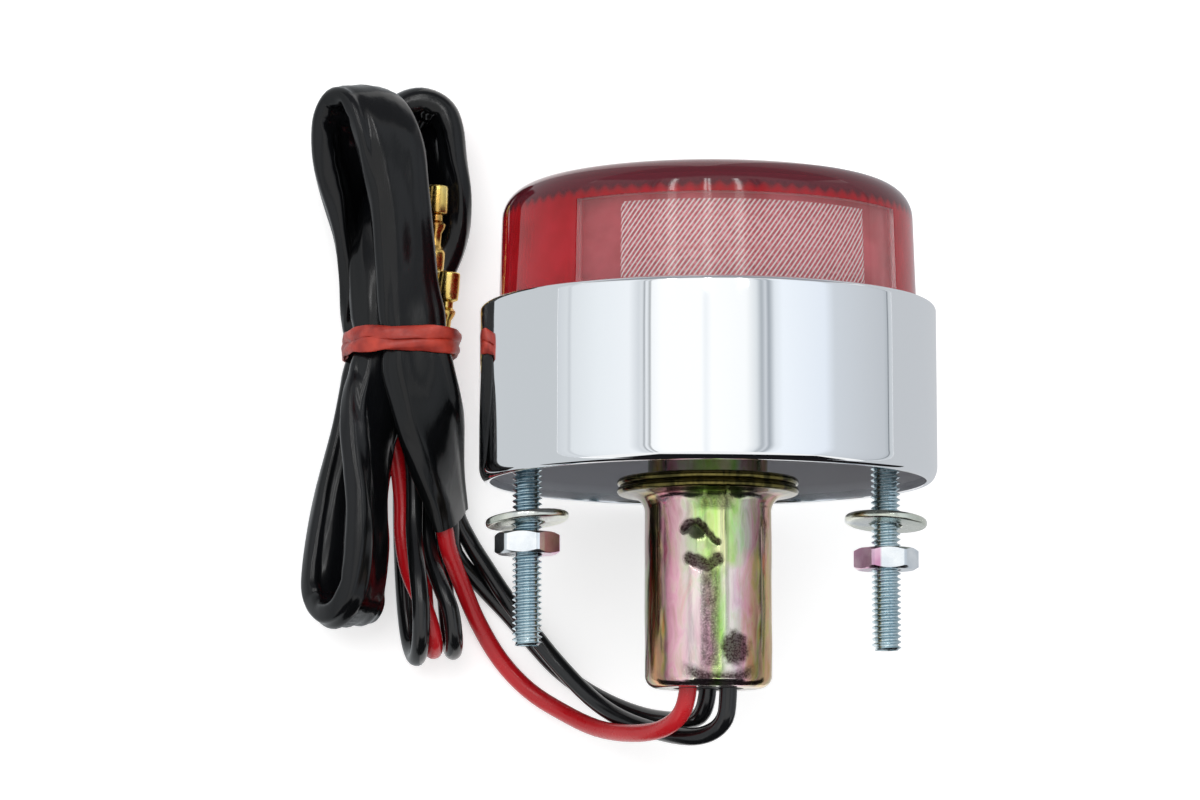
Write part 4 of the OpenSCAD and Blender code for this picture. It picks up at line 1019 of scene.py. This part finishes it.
def floor_finish():
    material, add, _ = start("pale_floor")
    seen = direct_rays(add)
    paint = add("BsdfDiffuse", {"Color": (0.8, 0.8, 0.8, 1)})
    glow = add("Emission", {"Color": (1, 1, 1, 1), "Strength": 0.5})
    both = add("AddShader", {0: paint, 1: glow})
    return done(material, {0: seen, 1: paint, 2: both}, "MixShader")


def paper(name, shade, strength=1.0):
    """A plain card of one tone."""
    material, _, _ = start(name)
    return done(material, {"Color": linear(shade), "Strength": strength}, "Emission")


def studio_arch():
    """The studio overhead, from the left horizon to the right: a white panel, with the edges and
    gaps of its neighbours either side of it, and paler walls below."""
    material, add, where = start("studio_arch")
    split = add("SeparateXYZ", {"Vector": where})
    turn = add("Math", {0: split.outputs["X"], 1: split.outputs["Z"]}, operation="ARCTAN2")
    lane = add("MapRange", {"Value": turn}, span=(-pi / 2, pi / 2))
    tones = [(-90, "#CDD1D5"), (-84, "#D6DADD"), (-82.5, "#C6CACE"), (-81, "#DDE1E4"), (-66, "#E8ECEF"),
             (-50, "#EEF1F4"), (-45, "#D3D7DB"), (-43, "#DDE0E3"), (-42.3, "#878C92"), (-41.6, "#E2E5E8"),
             (-40.3, "#E6E9EC"), (-39.6, "#5C6167"), (-38.9, "#F4F6F7"), (-34, "#FFFFFF"), (-15, "#FFFFFF"),
             (-13, "#EFF2F4"), (-10, "#FFFFFF"), (6, "#FAFBFB"), (11, "#DDE1E4"), (13.6, "#A6ACB2"),
             (15.4, "#CFD3D8"), (17, "#9CA2A9"), (20, "#E0E5EA"), (24, "#EEF3F9"), (46, "#E3E9F1"),
             (51.5, "#CCD1D7"), (72, "#C3C7CC"), (83, "#BEC2C7"), (85.9, "#B3B8BD"), (86.5, "#62676D"),
             (87.1, "#C2C6CA"), (90, "#CBCFD3")]
    shade = add("ValToRGB", {"Fac": lane}, [((a + 90) / 180, tone) for a, tone in tones])
    return done(material, {"Color": shade, "Strength": 1.12}, "Emission")


def arch(name, low, high, near, far, material, distance=1100):
    """A strip bent round the lamp's axis, between two angles from straight up towards +X."""
    mesh = bmesh.new()
    x, z = distance * sin(radians(low)), distance * cos(radians(low))
    ends = [mesh.verts.new((x, y, z)) for y in (near, far)]
    steps = max(int(abs(high - low) / 3), 1)
    bmesh.ops.spin(mesh, geom=ends + [mesh.edges.new(ends)], axis=(0, 1, 0), cent=(0, 0, 0),
                   angle=radians(high - low), steps=steps)
    staged(name, mesh, material, reflected_only=True)


def panel(name, corners, material):
    """A flat card through four corners in mm."""
    mesh = bmesh.new()
    bmesh.ops.contextual_create(mesh, geom=[mesh.verts.new(corner) for corner in corners])
    staged(name, mesh, material, reflected_only=True)


# How far the tables run, and the cards over them, in mm
REACH, ASIDE = 890, 1090
ground = bmesh.new()
bmesh.ops.create_grid(ground, x_segments=1, y_segments=1, size=3000)
staged("floor", ground, floor_finish())
arch("overhead_arch", -89.9, 89.9, -900, 900, studio_arch())
for name, middle, half, near in (("tube_left", -30.6, 1.2, 246), ("tube_middle_a", -12.8, 0.6, 240),
                                 ("tube_middle_b", -10.8, 0.6, 240), ("tube_right", 5.1, 1.2, 246)):
    arch(name, middle - half, middle + half, near + 40, REACH, paper(name + "_light", "#FFFFFF", 9.0), 1080)
    arch(name + "_haze", middle - 2 * half, middle + 2 * half, near, REACH,
         paper(name + "_glow", "#FFFFFF", 3.0), 1090)
for name, cover, shade, corners in (
        ("left_table", "grey", "#CDD1D4",
         [(-ASIDE, -REACH, 0.1), (-34, -REACH, 0.1), (-34, REACH, 0.1), (-ASIDE, REACH, 0.1)]),
        ("right_table", "grey", "#CACDD1",
         [(27, -REACH, 0.1), (ASIDE, -REACH, 0.1), (ASIDE, REACH, 0.1), (27, REACH, 0.1)]),
        ("dark_room", "cloth", "#17171A",
         [(-500, -880, 0), (760, -880, 0), (760, -880, 560), (-500, -880, 560)]),
        ("dark_table_edge", "cloth", "#1C1A1C",
         [(-330, -880, 0.2), (560, -880, 0.2), (120, -60, 0.2), (-65, -60, 0.2)]),
        ("far_wall", "paint", "#9A9CA2", [(-900, 900, 0), (900, 900, 0), (900, 900, 800), (-900, 900, 800)])):
    panel(name, corners, paper(name + "_" + cover, shade))

world = bpy.data.worlds.new("studio")
bpy.context.scene.world = world
world.use_nodes = True
world.node_tree.nodes.clear()
add = partial(put, world.node_tree)
level = add("MapRange", {"Value": direct_rays(add)}, span=(0, 1, 0.8, 1.0))
add("OutputWorld", {"Surface": add("Background", {"Color": (1, 1, 1, 1), "Strength": level})})

sun = bpy.data.objects.new("soft_light", bpy.data.lights.new("soft_light", "SUN"))
sun.data.energy = 0.9
sun.data.angle = radians(35)
sun.rotation_euler = (radians(-18), radians(-22), 0)
sun.visible_glossy = False
bpy.context.scene.collection.objects.link(sun)
bpy.context.scene.view_settings.view_transform = "Standard"
